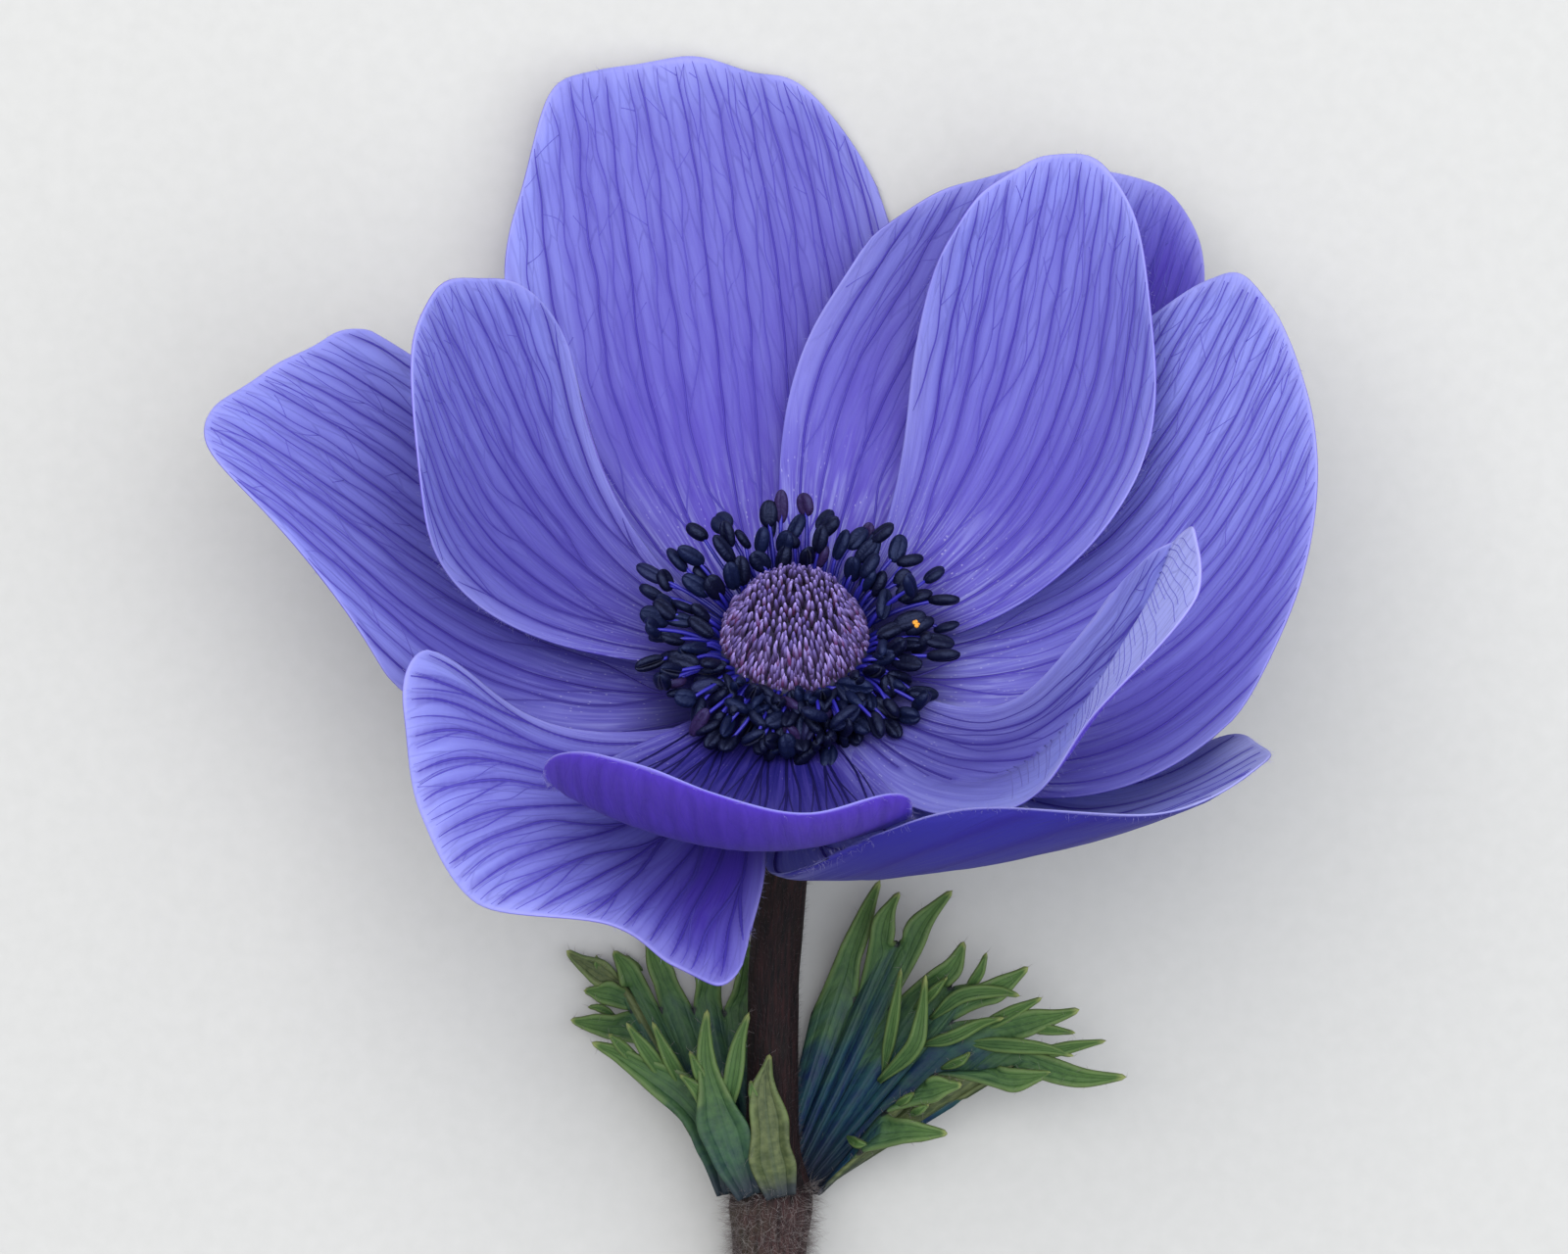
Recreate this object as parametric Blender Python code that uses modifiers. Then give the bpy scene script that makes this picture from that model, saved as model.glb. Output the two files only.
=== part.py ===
# Anemone flower, picked and lying on its side. Metres, Z up, floor at Z = 0.
# X runs to the right and Y up the stem, as the flower is seen from straight above.
import math
import random

import bmesh
import bpy
import numpy as np
from mathutils import Vector

for old in list(bpy.data.objects):
    bpy.data.objects.remove(old, do_unlink=True)

MM = 0.001

# Where the flower lies, in millimetres
CENTRE_SHIFT = np.array([1.38, 34.27])  # moves the flower so that its box is centred on the origin
HEAD_POINT = np.array([0.73, -3.33])   # the point where the petals meet, before that shift
HEAD_HEIGHT = 14.0                     # height of that point over the floor
HEAD_TILT = math.radians(42.0)         # the face of the flower leans this far back from straight up

# Blades
BLADE = 0.6                            # thickness of petals and bracts
FLOOR_GRIP = 0.30                      # a blade's middle comes no nearer to the floor than this
PETAL_ROWS = 12
PETAL_COLUMNS = 9
CLAW_HALF_WIDTH = 1.6                  # narrow foot of a petal
CLAW_START = 2.6                       # distance of that foot from the flower's axis

# Receptacle, stamens and pistil head, heights along the flower's axis
RECEPTACLE_RADIUS = 2.2
RECEPTACLE_TOP = 4.0
COLLAR_INNER, COLLAR_OUTER = 2.55, 5.0
COLLAR_BOTTOM, COLLAR_TOP = 3.5, 4.1
STAMENS = 54
FILAMENT_RADIUS = 0.26
ANTHER_LENGTH, ANTHER_WIDTH = 2.3, 1.45
DOME_CENTRE = 3.0
DOME_CORE_RADIUS = 4.35
DOME_RADIUS = 5.15
DOME_BOTTOM = 4.45
STYLES = 120
STYLE_RADIUS = 0.36

# Stem: X, Y, height and radius of its middle line, from the receptacle down to the cut
STEM_BELOW_HEAD = [
    (0.55, -8.3, 8.9, 1.8),
    (0.25, -12.5, 6.0, 1.75),
    (-0.15, -17.7, 4.9, 1.75),
    (-0.7, -24.0, 4.7, 1.75),
    (-0.75, -31.0, 4.5, 1.78),
    (-0.8, -36.8, 4.3, 1.9),
    (-0.8, -38.6, 4.25, 2.55),
    (-0.85, -40.2, 4.2, 2.6),
    (-0.9, -42.0, 4.15, 2.3),
    (-1.2, -55.0, 3.9, 2.3),
    (-1.8, -75.0, 3.3, 2.35),
    (-2.4, -93.0, 2.7, 2.4),
    (-2.9, -108.0, 2.38, 2.4),
]
NODE_AT = (-0.85, -39.4, 4.2)
BRACT_FOOT_RADIUS = 3.4

# Petals. Angles in degrees round the flower's face, 0 to the right and 90 to the back.
# seat: height of the foot. widths: half width on the two sides, anticlockwise first.
# lift: slope of the middle line from foot to tip. sway: its turn anticlockwise.
# rim: how far the blade reaches, from the clockwise margin over the middle to the other.
# cup: how far each margin turns up, from foot to tip. curl: 1 is even, more curls only the edge.
PETALS = {
    "petal_back": dict(
        azimuth=104, seat=-2.2, length=46, widths=(13.3, 14), belly=0.6, lift=(0, 24, 42, 50),
        rim=(0.64, 0.86, 0.94, 0.99, 1.0, 0.87, 0.64), cup_ccw=(0, 10), cup_cw=(0, 12)),
    "petal_back_right": dict(
        azimuth=54, seat=-0.6, length=41.5, widths=(13, 12.8), belly=0.5, lift=(2, 21, 38, 46),
        sway=(0, 3, 6), rim=(0.66, 0.88, 0.95, 0.98, 0.93, 0.84, 0.64),
        cup_ccw=(20, 40), cup_cw=(-25, -20)),
    "petal_right": dict(
        azimuth=2, seat=0.7, length=42, widths=(12, 16.5), belly=0.42, lift=(0, 14, 42, 50),
        sway=(0, 14, 42, 56), rim=(0.5, 0.62, 0.82, 0.94, 1.0, 0.97, 0.8),
        cup_ccw=(30, -6), cup_cw=(10, 30)),
    "petal_front_right": dict(
        azimuth=-52, seat=-2.3, length=36.5, widths=(13, 16.3), belly=0.45, lift=(0, 8, 30, 44),
        sway=(0, 14, 40, 54), roll=(0, 0, -35, -45), rim=(0.5, 0.66, 0.88, 1.0, 0.97, 0.88, 0.66),
        cup_ccw=(0, 5), cup_cw=(15, 75, 60), curl=(1, 1.8)),
    "petal_front_left": dict(
        azimuth=229.5, seat=-0.3, length=29, widths=(12.8, 17), belly=0.75, lift=(5, 10, 0, -25),
        rim=(0.62, 0.72, 0.90, 0.94, 0.83, 0.88, 0.80), cup_ccw=(10, 0), cup_cw=(20, 25)),
    "petal_left": dict(
        azimuth=168, seat=-1.3, length=44, widths=(9.0, 12.5), belly=0.62, lift=(0, 20, 38, 38),
        rim=(0.76, 0.86, 0.93, 0.99, 0.9, 0.66, 0.5), cup_ccw=(0, -12), cup_cw=(10, 30)),
    "petal_inner_left": dict(
        azimuth=152, seat=1.3, length=36, widths=(11.5, 8.2), belly=0.6, lift=(0, 20, 48, 68, 72),
        rim=(0.62, 0.86, 0.96, 1.0, 0.96, 0.86, 0.62), cup_ccw=(20, 35), cup_cw=(20, 35)),
    "petal_inner_right": dict(
        azimuth=44, seat=2.4, length=40.5, widths=(7.4, 11.9), belly=0.47, lift=(0, 25, 52, 58),
        sway=(0, 6, 22, 34), rim=(0.56, 0.72, 0.88, 0.97, 0.97, 0.92, 0.76),
        cup_ccw=(20, 25), cup_cw=(20, 55)),
    "petal_inner_front_right": dict(
        azimuth=-40, seat=2.4, length=37.5, widths=(5.2, 11.4), belly=0.62, lift=(0, 14, 48, 56, 60),
        sway=(0, 10, 28, 32, 34), rim=(0.62, 0.8, 0.95, 1.0, 0.96, 0.86, 0.72),
        cup_ccw=(20, 30), cup_cw=(10, 35)),
    "petal_inner_front": dict(
        azimuth=257, seat=1.2, length=31.5, widths=(12, 12), belly=0.5, lift=(0, 10, 32, 58, 82),
        rim=(0.76, 0.92, 1.0, 0.95, 0.91, 0.88, 0.74), cup_ccw=(0, 42), cup_cw=(10, 25)),
}

# Bracts. foot: the arc that each wraps round the swelling, in degrees, 0 to the right and 90 up.
# fingers: one tip each as X, Y, height; between them the notches, one more than the tips.
BRACTS = {
    "bract_right": dict(
        foot=(-92, 0),
        tips=[(6.7, -17.6, 2.0), (8.0, -18.4, 3.2), (11.7, -18.3, 3.0), (12.5, -21.8, 4.6),
              (16.9, -23.5, 5.6), (20.4, -26.4, 6.6), (23.6, -31.0, 7.6), (18.6, -30.7, 6.6),
              (12.3, -31.6, 6.0), (11.3, -35.0, 6.2)],
        notches=[(1.9, -27.0, 1.4), (5.0, -26.0, 1.9), (7.9, -22.0, 2.9), (7.4, -26.4, 2.9),
                 (11.6, -25.0, 4.4), (11.6, -27.4, 4.7), (15.4, -29.0, 5.6), (15.0, -30.6, 5.6),
                 (10.4, -31.0, 4.9), (7.6, -32.6, 4.6), (5.2, -36.4, 4.9)]),
    "bract_back": dict(
        foot=(-172, -106),
        tips=[(-14.9, -27.4, 1.1), (-14.0, -25.4, 0.5), (-15.2, -22.6, 0.6), (-11.9, -22.6, 0.6),
              (-9.6, -21.4, 0.3), (-6.2, -21.6, 0.4), (-3.0, -21.0, 0.4)],
        notches=[(-9.6, -29.2, 1.5), (-10.6, -26.8, 0.9), (-10.5, -25.4, 0.6), (-11.2, -25.0, 0.6),
                 (-8.6, -26.8, 0.5), (-6.3, -26.8, 0.5), (-4.2, -27.0, 0.45), (-1.9, -29.5, 0.6)]),
    "bract_front": dict(
        foot=(174, 66),
        tips=[(-13.4, -29.0, 5.4), (-11.2, -28.0, 6.0), (-7.2, -31.4, 7.3), (-5.6, -27.0, 7.6),
              (-2.6, -27.2, 8.0), (-0.6, -30.2, 7.6)],
        notches=[(-8.4, -32.0, 5.3), (-9.8, -30.4, 5.8), (-6.9, -33.0, 7.0), (-5.9, -31.8, 7.3),
                 (-4.3, -30.3, 7.6), (-2.6, -33.0, 7.5), (0.2, -34.5, 7.3)]),
}

AXIS = np.array([0.0, math.sin(HEAD_TILT), math.cos(HEAD_TILT)])
RIGHT = np.array([1.0, 0.0, 0.0])
BACK = np.array([0.0, math.cos(HEAD_TILT), -math.sin(HEAD_TILT)])
HEAD = np.array([HEAD_POINT[0] + CENTRE_SHIFT[0], HEAD_POINT[1] + CENTRE_SHIFT[1], HEAD_HEIGHT])
ARC_NODES, ARC_WEIGHTS = np.polynomial.legendre.leggauss(8)


def material(name, colour, roughness):
    mat = bpy.data.materials.new(name)
    mat.use_nodes = True
    shader = mat.node_tree.nodes["Principled BSDF"]
    shader.inputs["Base Color"].default_value = (*colour, 1.0)
    shader.inputs["Roughness"].default_value = roughness
    return mat


OUTER_PETAL = material("petal_outer_blue_violet", (0.20, 0.16, 0.62), 0.55)
INNER_PETAL = material("petal_inner_blue_violet", (0.24, 0.19, 0.70), 0.55)
STEM_SKIN = material("stem_brown", (0.13, 0.06, 0.05), 0.7)
BRACT_GREEN = material("bract_green", (0.08, 0.20, 0.05), 0.6)
ANTHER_NAVY = material("stamen_navy", (0.015, 0.015, 0.06), 0.5)
HEAD_MAUVE = material("pistil_mauve", (0.16, 0.11, 0.19), 0.7)

parts = bpy.data.collections.new("anemone_flower")
bpy.context.scene.collection.children.link(parts)


def add_mesh(name, points, faces, mat, collection=parts):
    mesh = bpy.data.meshes.new(name)
    mesh.from_pydata([tuple(MM * float(c) for c in p) for p in points], [], faces)
    obj = bpy.data.objects.new(name, mesh)
    collection.objects.link(obj)
    mesh.materials.append(mat)
    return obj


def apply_modifiers(obj):
    depsgraph = bpy.context.evaluated_depsgraph_get()
    mesh = bpy.data.meshes.new_from_object(obj.evaluated_get(depsgraph))
    obj.modifiers.clear()
    obj.data = mesh


def set_down(obj):
    """Points a hair off the floor are laid on it."""
    for vertex in obj.data.vertices:
        if vertex.co.z < 0.03 * MM:
            vertex.co.z = 0.0


def thicken(obj):
    """Triangles first, so that both faces of the blade are alike, then its thickness."""
    bm = bmesh.new()
    bm.from_mesh(obj.data)
    bmesh.ops.remove_doubles(bm, verts=bm.verts, dist=0.02 * MM)
    bmesh.ops.triangulate(bm, faces=bm.faces, quad_method="SHORT_EDGE")
    bmesh.ops.recalc_face_normals(bm, faces=bm.faces)
    bm.to_mesh(obj.data)
    bm.free()
    solid = obj.modifiers.new("blade", "SOLIDIFY")
    solid.thickness = BLADE * MM
    solid.offset = 0.0
    apply_modifiers(obj)
    set_down(obj)


def ease(values, at):
    """A smooth curve through values spread evenly over 0 to 1."""
    values = np.asarray(values, float)
    if len(values) == 1:
        return np.full_like(at, values[0])
    count = len(values) - 1
    x = np.clip(at, 0, 1) * count
    i = np.minimum(x.astype(int), count - 1)
    f = x - i
    run = np.concatenate([[2 * values[0] - values[1]], values, [2 * values[-1] - values[-2]]])
    a, b, c, d = run[i], run[i + 1], run[i + 2], run[i + 3]
    return 0.5 * (2 * b + (c - a) * f + (2 * a - 5 * b + 4 * c - d) * f**2
                  + (3 * b - a - 3 * c + d) * f**3)


def half_width(share, widest, belly):
    rise = np.sin(0.5 * math.pi * np.clip(share / belly, 0, 1)) ** 0.95
    fall = 0.12 * np.clip((share - belly) / (1 - belly), 0, 1) ** 2
    return CLAW_HALF_WIDTH + (widest - CLAW_HALF_WIDTH) * rise - widest * fall


def middle_line(p, steps=160):
    """Points and directions down the middle of a petal, from its foot to its tip."""
    share = np.linspace(0, 1.05, steps + 1)
    lift = np.radians(ease(p["lift"], share))
    turn = math.radians(p["azimuth"]) + np.radians(ease(p.get("sway", (0, 0)), share))
    outward = np.cos(turn)[:, None] * RIGHT + np.sin(turn)[:, None] * BACK
    along = np.cos(lift)[:, None] * outward + np.sin(lift)[:, None] * AXIS
    piece = 0.5 * (along[1:] + along[:-1]) * p["length"] * 1.05 / steps
    start = HEAD + CLAW_START * outward[0] + p["seat"] * AXIS
    return share, start + np.concatenate([[np.zeros(3)], np.cumsum(piece, 0)]), along


def petal_surface(p, u, w):
    """Middle surface of a petal: u from the foot to the rim, w across from -1 to 1."""
    side = np.sin(0.5 * math.pi * w)
    share = u * ease(p["rim"], (w + 1) / 2)
    table, line, direction = middle_line(p)

    def at(rows):
        return np.stack([np.interp(share, table, rows[:, k]) for k in range(3)], -1)

    along = at(direction)
    along /= np.linalg.norm(along, axis=-1, keepdims=True)
    across = np.cross(AXIS, along)
    across /= np.linalg.norm(across, axis=-1, keepdims=True)
    up = np.cross(along, across)
    roll = np.radians(ease(p.get("roll", (0, 0)), share))[..., None]
    across, up = np.cos(roll) * across + np.sin(roll) * up, np.cos(roll) * up - np.sin(roll) * across
    ccw = side >= 0
    wide = np.where(ccw, half_width(share, p["widths"][0], p["belly"]),
                    half_width(share, p["widths"][1], p["belly"]))
    cup = np.radians(np.where(ccw, ease(p["cup_ccw"], share), ease(p["cup_cw"], share)))
    curl = np.where(ccw, p.get("curl", (1, 1))[0], p.get("curl", (1, 1))[1])
    flat = np.zeros_like(side)
    raised = np.zeros_like(side)
    for node, weight in zip(ARC_NODES, ARC_WEIGHTS):
        angle = cup * np.abs(0.5 * (node + 1) * side) ** curl
        flat += 0.5 * weight * np.cos(angle)
        raised += 0.5 * weight * np.sin(angle)
    points = (at(line) + (flat * wide * side)[..., None] * across
              + (raised * wide * np.abs(side))[..., None] * up)
    points[..., 2] = np.maximum(points[..., 2], FLOOR_GRIP)
    return points


def petal(name, p, mat):
    u, w = np.meshgrid(np.linspace(0, 1, PETAL_ROWS + 1), np.linspace(-1, 1, PETAL_COLUMNS + 1),
                       indexing="ij")
    points = petal_surface(p, u, w).reshape(-1, 3)
    stride = PETAL_COLUMNS + 1
    faces = [(r * stride + c, (r + 1) * stride + c, (r + 1) * stride + c + 1, r * stride + c + 1)
             for r in range(PETAL_ROWS) for c in range(PETAL_COLUMNS)]
    thicken(add_mesh(name, points, faces, mat))


def bract(name, b):
    """A fan of narrow fingers on one foot that wraps round the swelling of the stem."""
    shift = np.array([*CENTRE_SHIFT, 0.0])
    notches = np.array(b["notches"]) + shift
    tips = np.array(b["tips"]) + shift
    count = len(tips)
    arc = np.radians(np.linspace(*b["foot"], 2 * count + 1))
    centre = np.array(NODE_AT) + shift
    foot = centre + BRACT_FOOT_RADIUS * np.stack([np.cos(arc), 0 * arc, np.sin(arc)], -1)
    foot[:, 2] = np.maximum(foot[:, 2], FLOOR_GRIP)
    points, faces = [], []

    def ruled(low, high, t):
        sag = 0.6 * math.sin(math.pi * t) * max(0.0, min(1.0, (high[2] - 3.0) / 3.0))
        return (1 - t) * low + t * high - np.array([0.0, 0.0, sag])

    def add(rows):
        start = len(points)
        for row in rows:
            points.extend(row)
        for r in range(len(rows) - 1):
            k = start + 3 * r
            faces.append((k, k + 3, k + 4, k + 1))
            faces.append((k + 1, k + 4, k + 5, k + 2))

    for i in range(count):
        left, right, tip = notches[i], notches[i + 1], tips[i]
        root = 0.5 * (left + right)
        reach = np.linalg.norm(tip - root)
        root = root + 0.16 * (tip - root)
        crest = np.array([0.0, 0.0, 0.22])
        body = []
        for t in (0.0, 0.3, 0.65, 1.0):
            body.append([ruled(foot[2 * i], left, t), ruled(foot[2 * i + 1], root + crest, t),
                         ruled(foot[2 * i + 2], right, t)])
        add(body)
        sideways = np.cross(tip - root, [0, 0, 1.0])
        sideways /= np.linalg.norm(sideways)
        if np.dot(sideways, right - left) < 0:
            sideways = -sideways
        width = min(1.05, 0.16 * reach + 0.35)
        finger = [[left, root + crest, right]]
        for t, w in ((0.42, 1.0), (0.75, 0.8), (0.97, 0.3)):
            middle = root + t * (tip - root) + np.array([0.0, 0.0, 0.35 * math.sin(math.pi * t)])
            finger.append([middle - w * width * sideways, middle + crest * (1 - t),
                           middle + w * width * sideways])
        add(finger)
    points = np.array(points)
    points[:, 2] = np.maximum(points[:, 2], FLOOR_GRIP)
    thicken(add_mesh(name, points, faces, BRACT_GREEN))


def stem():
    """Receptacle, pedicel, swelling and woolly scape as one tapering tube."""
    shift = np.array([*CENTRE_SHIFT, 0.0])
    line = [(HEAD + h * AXIS, r) for h, r in ((RECEPTACLE_TOP, 1.9), (3.4, RECEPTACLE_RADIUS),
                                              (-2.9, RECEPTACLE_RADIUS), (-4.2, 1.85))]
    line += [(np.array(p[:3]) + shift, p[3]) for p in STEM_BELOW_HEAD]
    centres = np.array([p for p, _ in line])
    radii = np.array([r for _, r in line])
    knots = np.concatenate([[0], np.cumsum(np.linalg.norm(np.diff(centres, axis=0), axis=1))])
    curve = bpy.data.curves.new("stem", "CURVE")
    curve.dimensions = "3D"
    curve.bevel_depth = MM
    curve.bevel_resolution = 4
    curve.use_fill_caps = True
    spline = curve.splines.new("POLY")
    spline.points.add(len(line) - 1)
    for k, point in enumerate(spline.points):
        point.co = (*(MM * centres[k]), 1.0)
        point.radius = radii[k]
    obj = bpy.data.objects.new("stem", curve)
    parts.objects.link(obj)
    curve.materials.append(STEM_SKIN)
    mesh = bpy.data.meshes.new_from_object(obj.evaluated_get(bpy.context.evaluated_depsgraph_get()))
    bpy.data.objects.remove(obj, do_unlink=True)
    tube = bpy.data.objects.new("stem", mesh)
    parts.objects.link(tube)
    bm = bmesh.new()
    bm.from_mesh(mesh)
    bmesh.ops.remove_doubles(bm, verts=bm.verts, dist=0.02 * MM)
    bmesh.ops.recalc_face_normals(bm, faces=bm.faces)
    bm.to_mesh(mesh)
    bm.free()
    set_down(tube)
    return knots


def fuse(obj, pieces):
    """One union of a body with everything in a collection, which is then removed."""
    union = obj.modifiers.new("grown_together", "BOOLEAN")
    union.operation = "UNION"
    union.operand_type = "COLLECTION"
    union.collection = pieces
    union.solver = "EXACT"
    union.use_self = True
    apply_modifiers(obj)
    for piece in list(pieces.objects):
        bpy.data.objects.remove(piece, do_unlink=True)
    bpy.data.collections.remove(pieces)


def on_head(radius, angle, height):
    return HEAD + radius * (math.cos(angle) * RIGHT + math.sin(angle) * BACK) + height * AXIS


def prism(name, rings, mat, collection):
    """A closed skin over rings that all have the same number of points."""
    n = len(rings[0])
    points = [p for ring in rings for p in ring]
    faces = [(r * n + k, r * n + (k + 1) % n, (r + 1) * n + (k + 1) % n, (r + 1) * n + k)
             for r in range(len(rings) - 1) for k in range(n)]
    faces.append(tuple(reversed(range(n))))
    faces.append(tuple((len(rings) - 1) * n + k for k in range(n)))
    obj = add_mesh(name, points, faces, mat, collection)
    bm = bmesh.new()
    bm.from_mesh(obj.data)
    bmesh.ops.recalc_face_normals(bm, faces=bm.faces)
    bm.to_mesh(obj.data)
    bm.free()
    return obj


def ring_round(centre, direction, radius, sides, spin=0.0, flatten=1.0):
    direction = direction / np.linalg.norm(direction)
    first = np.cross(direction, AXIS if abs(direction @ AXIS) < 0.95 else RIGHT)
    first /= np.linalg.norm(first)
    second = np.cross(direction, first)
    turns = [spin + 2 * math.pi * k / sides for k in range(sides)]
    return [centre + radius * (math.cos(t) * first + flatten * math.sin(t) * second) for t in turns]


def stamens():
    rng = random.Random(11)
    sides = 20
    turns = [2 * math.pi * k / sides for k in range(sides)]
    loop = [(COLLAR_INNER, COLLAR_BOTTOM), (COLLAR_OUTER, COLLAR_BOTTOM + 0.05),
            (COLLAR_OUTER, COLLAR_TOP), (COLLAR_INNER, COLLAR_TOP)]
    points = [on_head(r, t, h) for t in turns for r, h in loop]
    faces = [(4 * k + j, 4 * k + (j + 1) % 4, 4 * ((k + 1) % sides) + (j + 1) % 4,
              4 * ((k + 1) % sides) + j) for k in range(sides) for j in range(4)]
    collar = add_mesh("stamens", points, faces, ANTHER_NAVY)
    bm = bmesh.new()
    bm.from_mesh(collar.data)
    bmesh.ops.recalc_face_normals(bm, faces=bm.faces)
    bm.to_mesh(collar.data)
    bm.free()
    pieces = bpy.data.collections.new("stamen_pieces")
    bpy.context.scene.collection.children.link(pieces)
    golden = math.pi * (3 - math.sqrt(5))
    for k in range(STAMENS):
        share = (k + 0.5) / STAMENS
        angle = k * golden + rng.uniform(-0.08, 0.08)
        back = 0.5 + 0.5 * math.sin(angle)
        rise = math.radians((1 - share) * (58 + 8 * back) + share * (16 + 14 * back))
        length = 4.6 + 2.2 * share + 1.0 * back + rng.uniform(-0.4, 0.4)
        foot = on_head(4.35, angle, 3.75)
        head = on_head(4.5 + length * math.cos(rise), angle + rng.uniform(-0.04, 0.04),
                       3.9 + length * math.sin(rise))
        prism("filament_%02d" % k,
              [ring_round(point, head - foot, FILAMENT_RADIUS, 3, 0.4 * k) for point in (foot, head)],
              ANTHER_NAVY, pieces)
        way = head - foot
        way /= np.linalg.norm(way)
        way = way + 0.35 * (rng.uniform(-1, 1) * AXIS + rng.uniform(-1, 1) * RIGHT)
        way /= np.linalg.norm(way)
        rings = [ring_round(head + ANTHER_LENGTH * s * way, way, ANTHER_WIDTH * r, 5, 0.7 * k, 0.75)
                 for s, r in ((-0.45, 0.2), (-0.15, 0.52), (0.25, 0.5), (0.52, 0.16))]
        prism("anther_%02d" % k, rings, ANTHER_NAVY, pieces)
    fuse(collar, pieces)


def pistil_head():
    rng = random.Random(5)
    sides = 24
    turns = [2 * math.pi * k / sides for k in range(sides)]
    drop = DOME_BOTTOM - DOME_CENTRE
    low = math.asin(drop / DOME_CORE_RADIUS)
    rings = []
    for k in range(5):
        a = low + (math.radians(84) - low) * k / 4
        rings.append([on_head(DOME_CORE_RADIUS * math.cos(a), t,
                              DOME_CENTRE + DOME_CORE_RADIUS * math.sin(a)) for t in turns])
    core = prism("pistil_head", rings, HEAD_MAUVE, parts)
    pieces = bpy.data.collections.new("style_pieces")
    bpy.context.scene.collection.children.link(pieces)
    golden = math.pi * (3 - math.sqrt(5))
    for k in range(STYLES):
        share = (k + 0.5) / STYLES
        height = math.sin(low + 0.16) + (1 - math.sin(low + 0.16)) * share
        polar = math.asin(min(1.0, height))
        angle = k * golden
        out = math.cos(polar) * (math.cos(angle) * RIGHT + math.sin(angle) * BACK) + math.sin(polar) * AXIS
        upward = AXIS - (AXIS @ out) * out
        size = np.linalg.norm(upward)
        upward = upward / size if size > 0.05 else RIGHT
        centre = HEAD + DOME_CENTRE * AXIS
        lean = 0.9 * upward + rng.uniform(-0.15, 0.15) * np.cross(out, upward)
        low_end = centre + (DOME_CORE_RADIUS - 0.35) * out - 0.35 * lean
        tip = centre + (DOME_RADIUS - 0.05 + rng.uniform(-0.12, 0.08)) * out + 0.75 * lean * min(1, 2 * size)
        way = tip - low_end
        prism("style_%03d" % k,
              [ring_round(low_end, way, STYLE_RADIUS, 3, 0.3 * k),
               ring_round(tip, way, 0.14, 3, 0.3 * k)], HEAD_MAUVE, pieces)
    fuse(core, pieces)


for petal_name, values in PETALS.items():
    petal(petal_name, values, INNER_PETAL if "inner" in petal_name else OUTER_PETAL)
for bract_name, values in BRACTS.items():
    bract(bract_name, values)
stem()
stamens()
pistil_head()

for obj in parts.objects:
    for polygon in obj.data.polygons:
        polygon.use_smooth = False
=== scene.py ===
# Anemone flower: the finished surfaces over the fixed frame. Lengths are millimetres until a mesh
# is made. X runs to the right and Y up the stem as the flower is seen from above, Z up from the floor.
import math

import bmesh
import bpy
import numpy as np
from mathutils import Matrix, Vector
from mathutils.kdtree import KDTree


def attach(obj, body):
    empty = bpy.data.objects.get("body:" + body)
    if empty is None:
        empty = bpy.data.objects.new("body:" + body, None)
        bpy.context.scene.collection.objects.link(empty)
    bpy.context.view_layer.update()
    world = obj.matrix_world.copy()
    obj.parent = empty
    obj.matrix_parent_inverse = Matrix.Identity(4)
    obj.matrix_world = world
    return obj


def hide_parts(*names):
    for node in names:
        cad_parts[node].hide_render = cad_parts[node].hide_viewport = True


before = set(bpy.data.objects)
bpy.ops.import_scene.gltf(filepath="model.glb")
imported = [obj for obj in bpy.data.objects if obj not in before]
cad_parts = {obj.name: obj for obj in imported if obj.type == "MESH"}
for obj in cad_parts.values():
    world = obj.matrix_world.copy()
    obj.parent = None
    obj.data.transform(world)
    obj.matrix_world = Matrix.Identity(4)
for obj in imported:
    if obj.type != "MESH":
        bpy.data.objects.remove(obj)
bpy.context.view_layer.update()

MM = 0.001

# The flower's place and attitude
SHIFT = np.array([1.38, 34.27, 0.0])   # added to all places below the head
HEAD = SHIFT + (0.73, -3.33, 14.0)
HEAD_TILT = math.radians(42.0)
UP = np.array([0.0, 0.0, 1.0])
RIGHT = np.array([1.0, 0.0, 0.0])
AXIS = np.array([0.0, math.sin(HEAD_TILT), math.cos(HEAD_TILT)])
BACK = np.array([0.0, math.cos(HEAD_TILT), -math.sin(HEAD_TILT)])
FLOOR_GRIP = 0.30   # least height of a blade's middle surface

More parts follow.
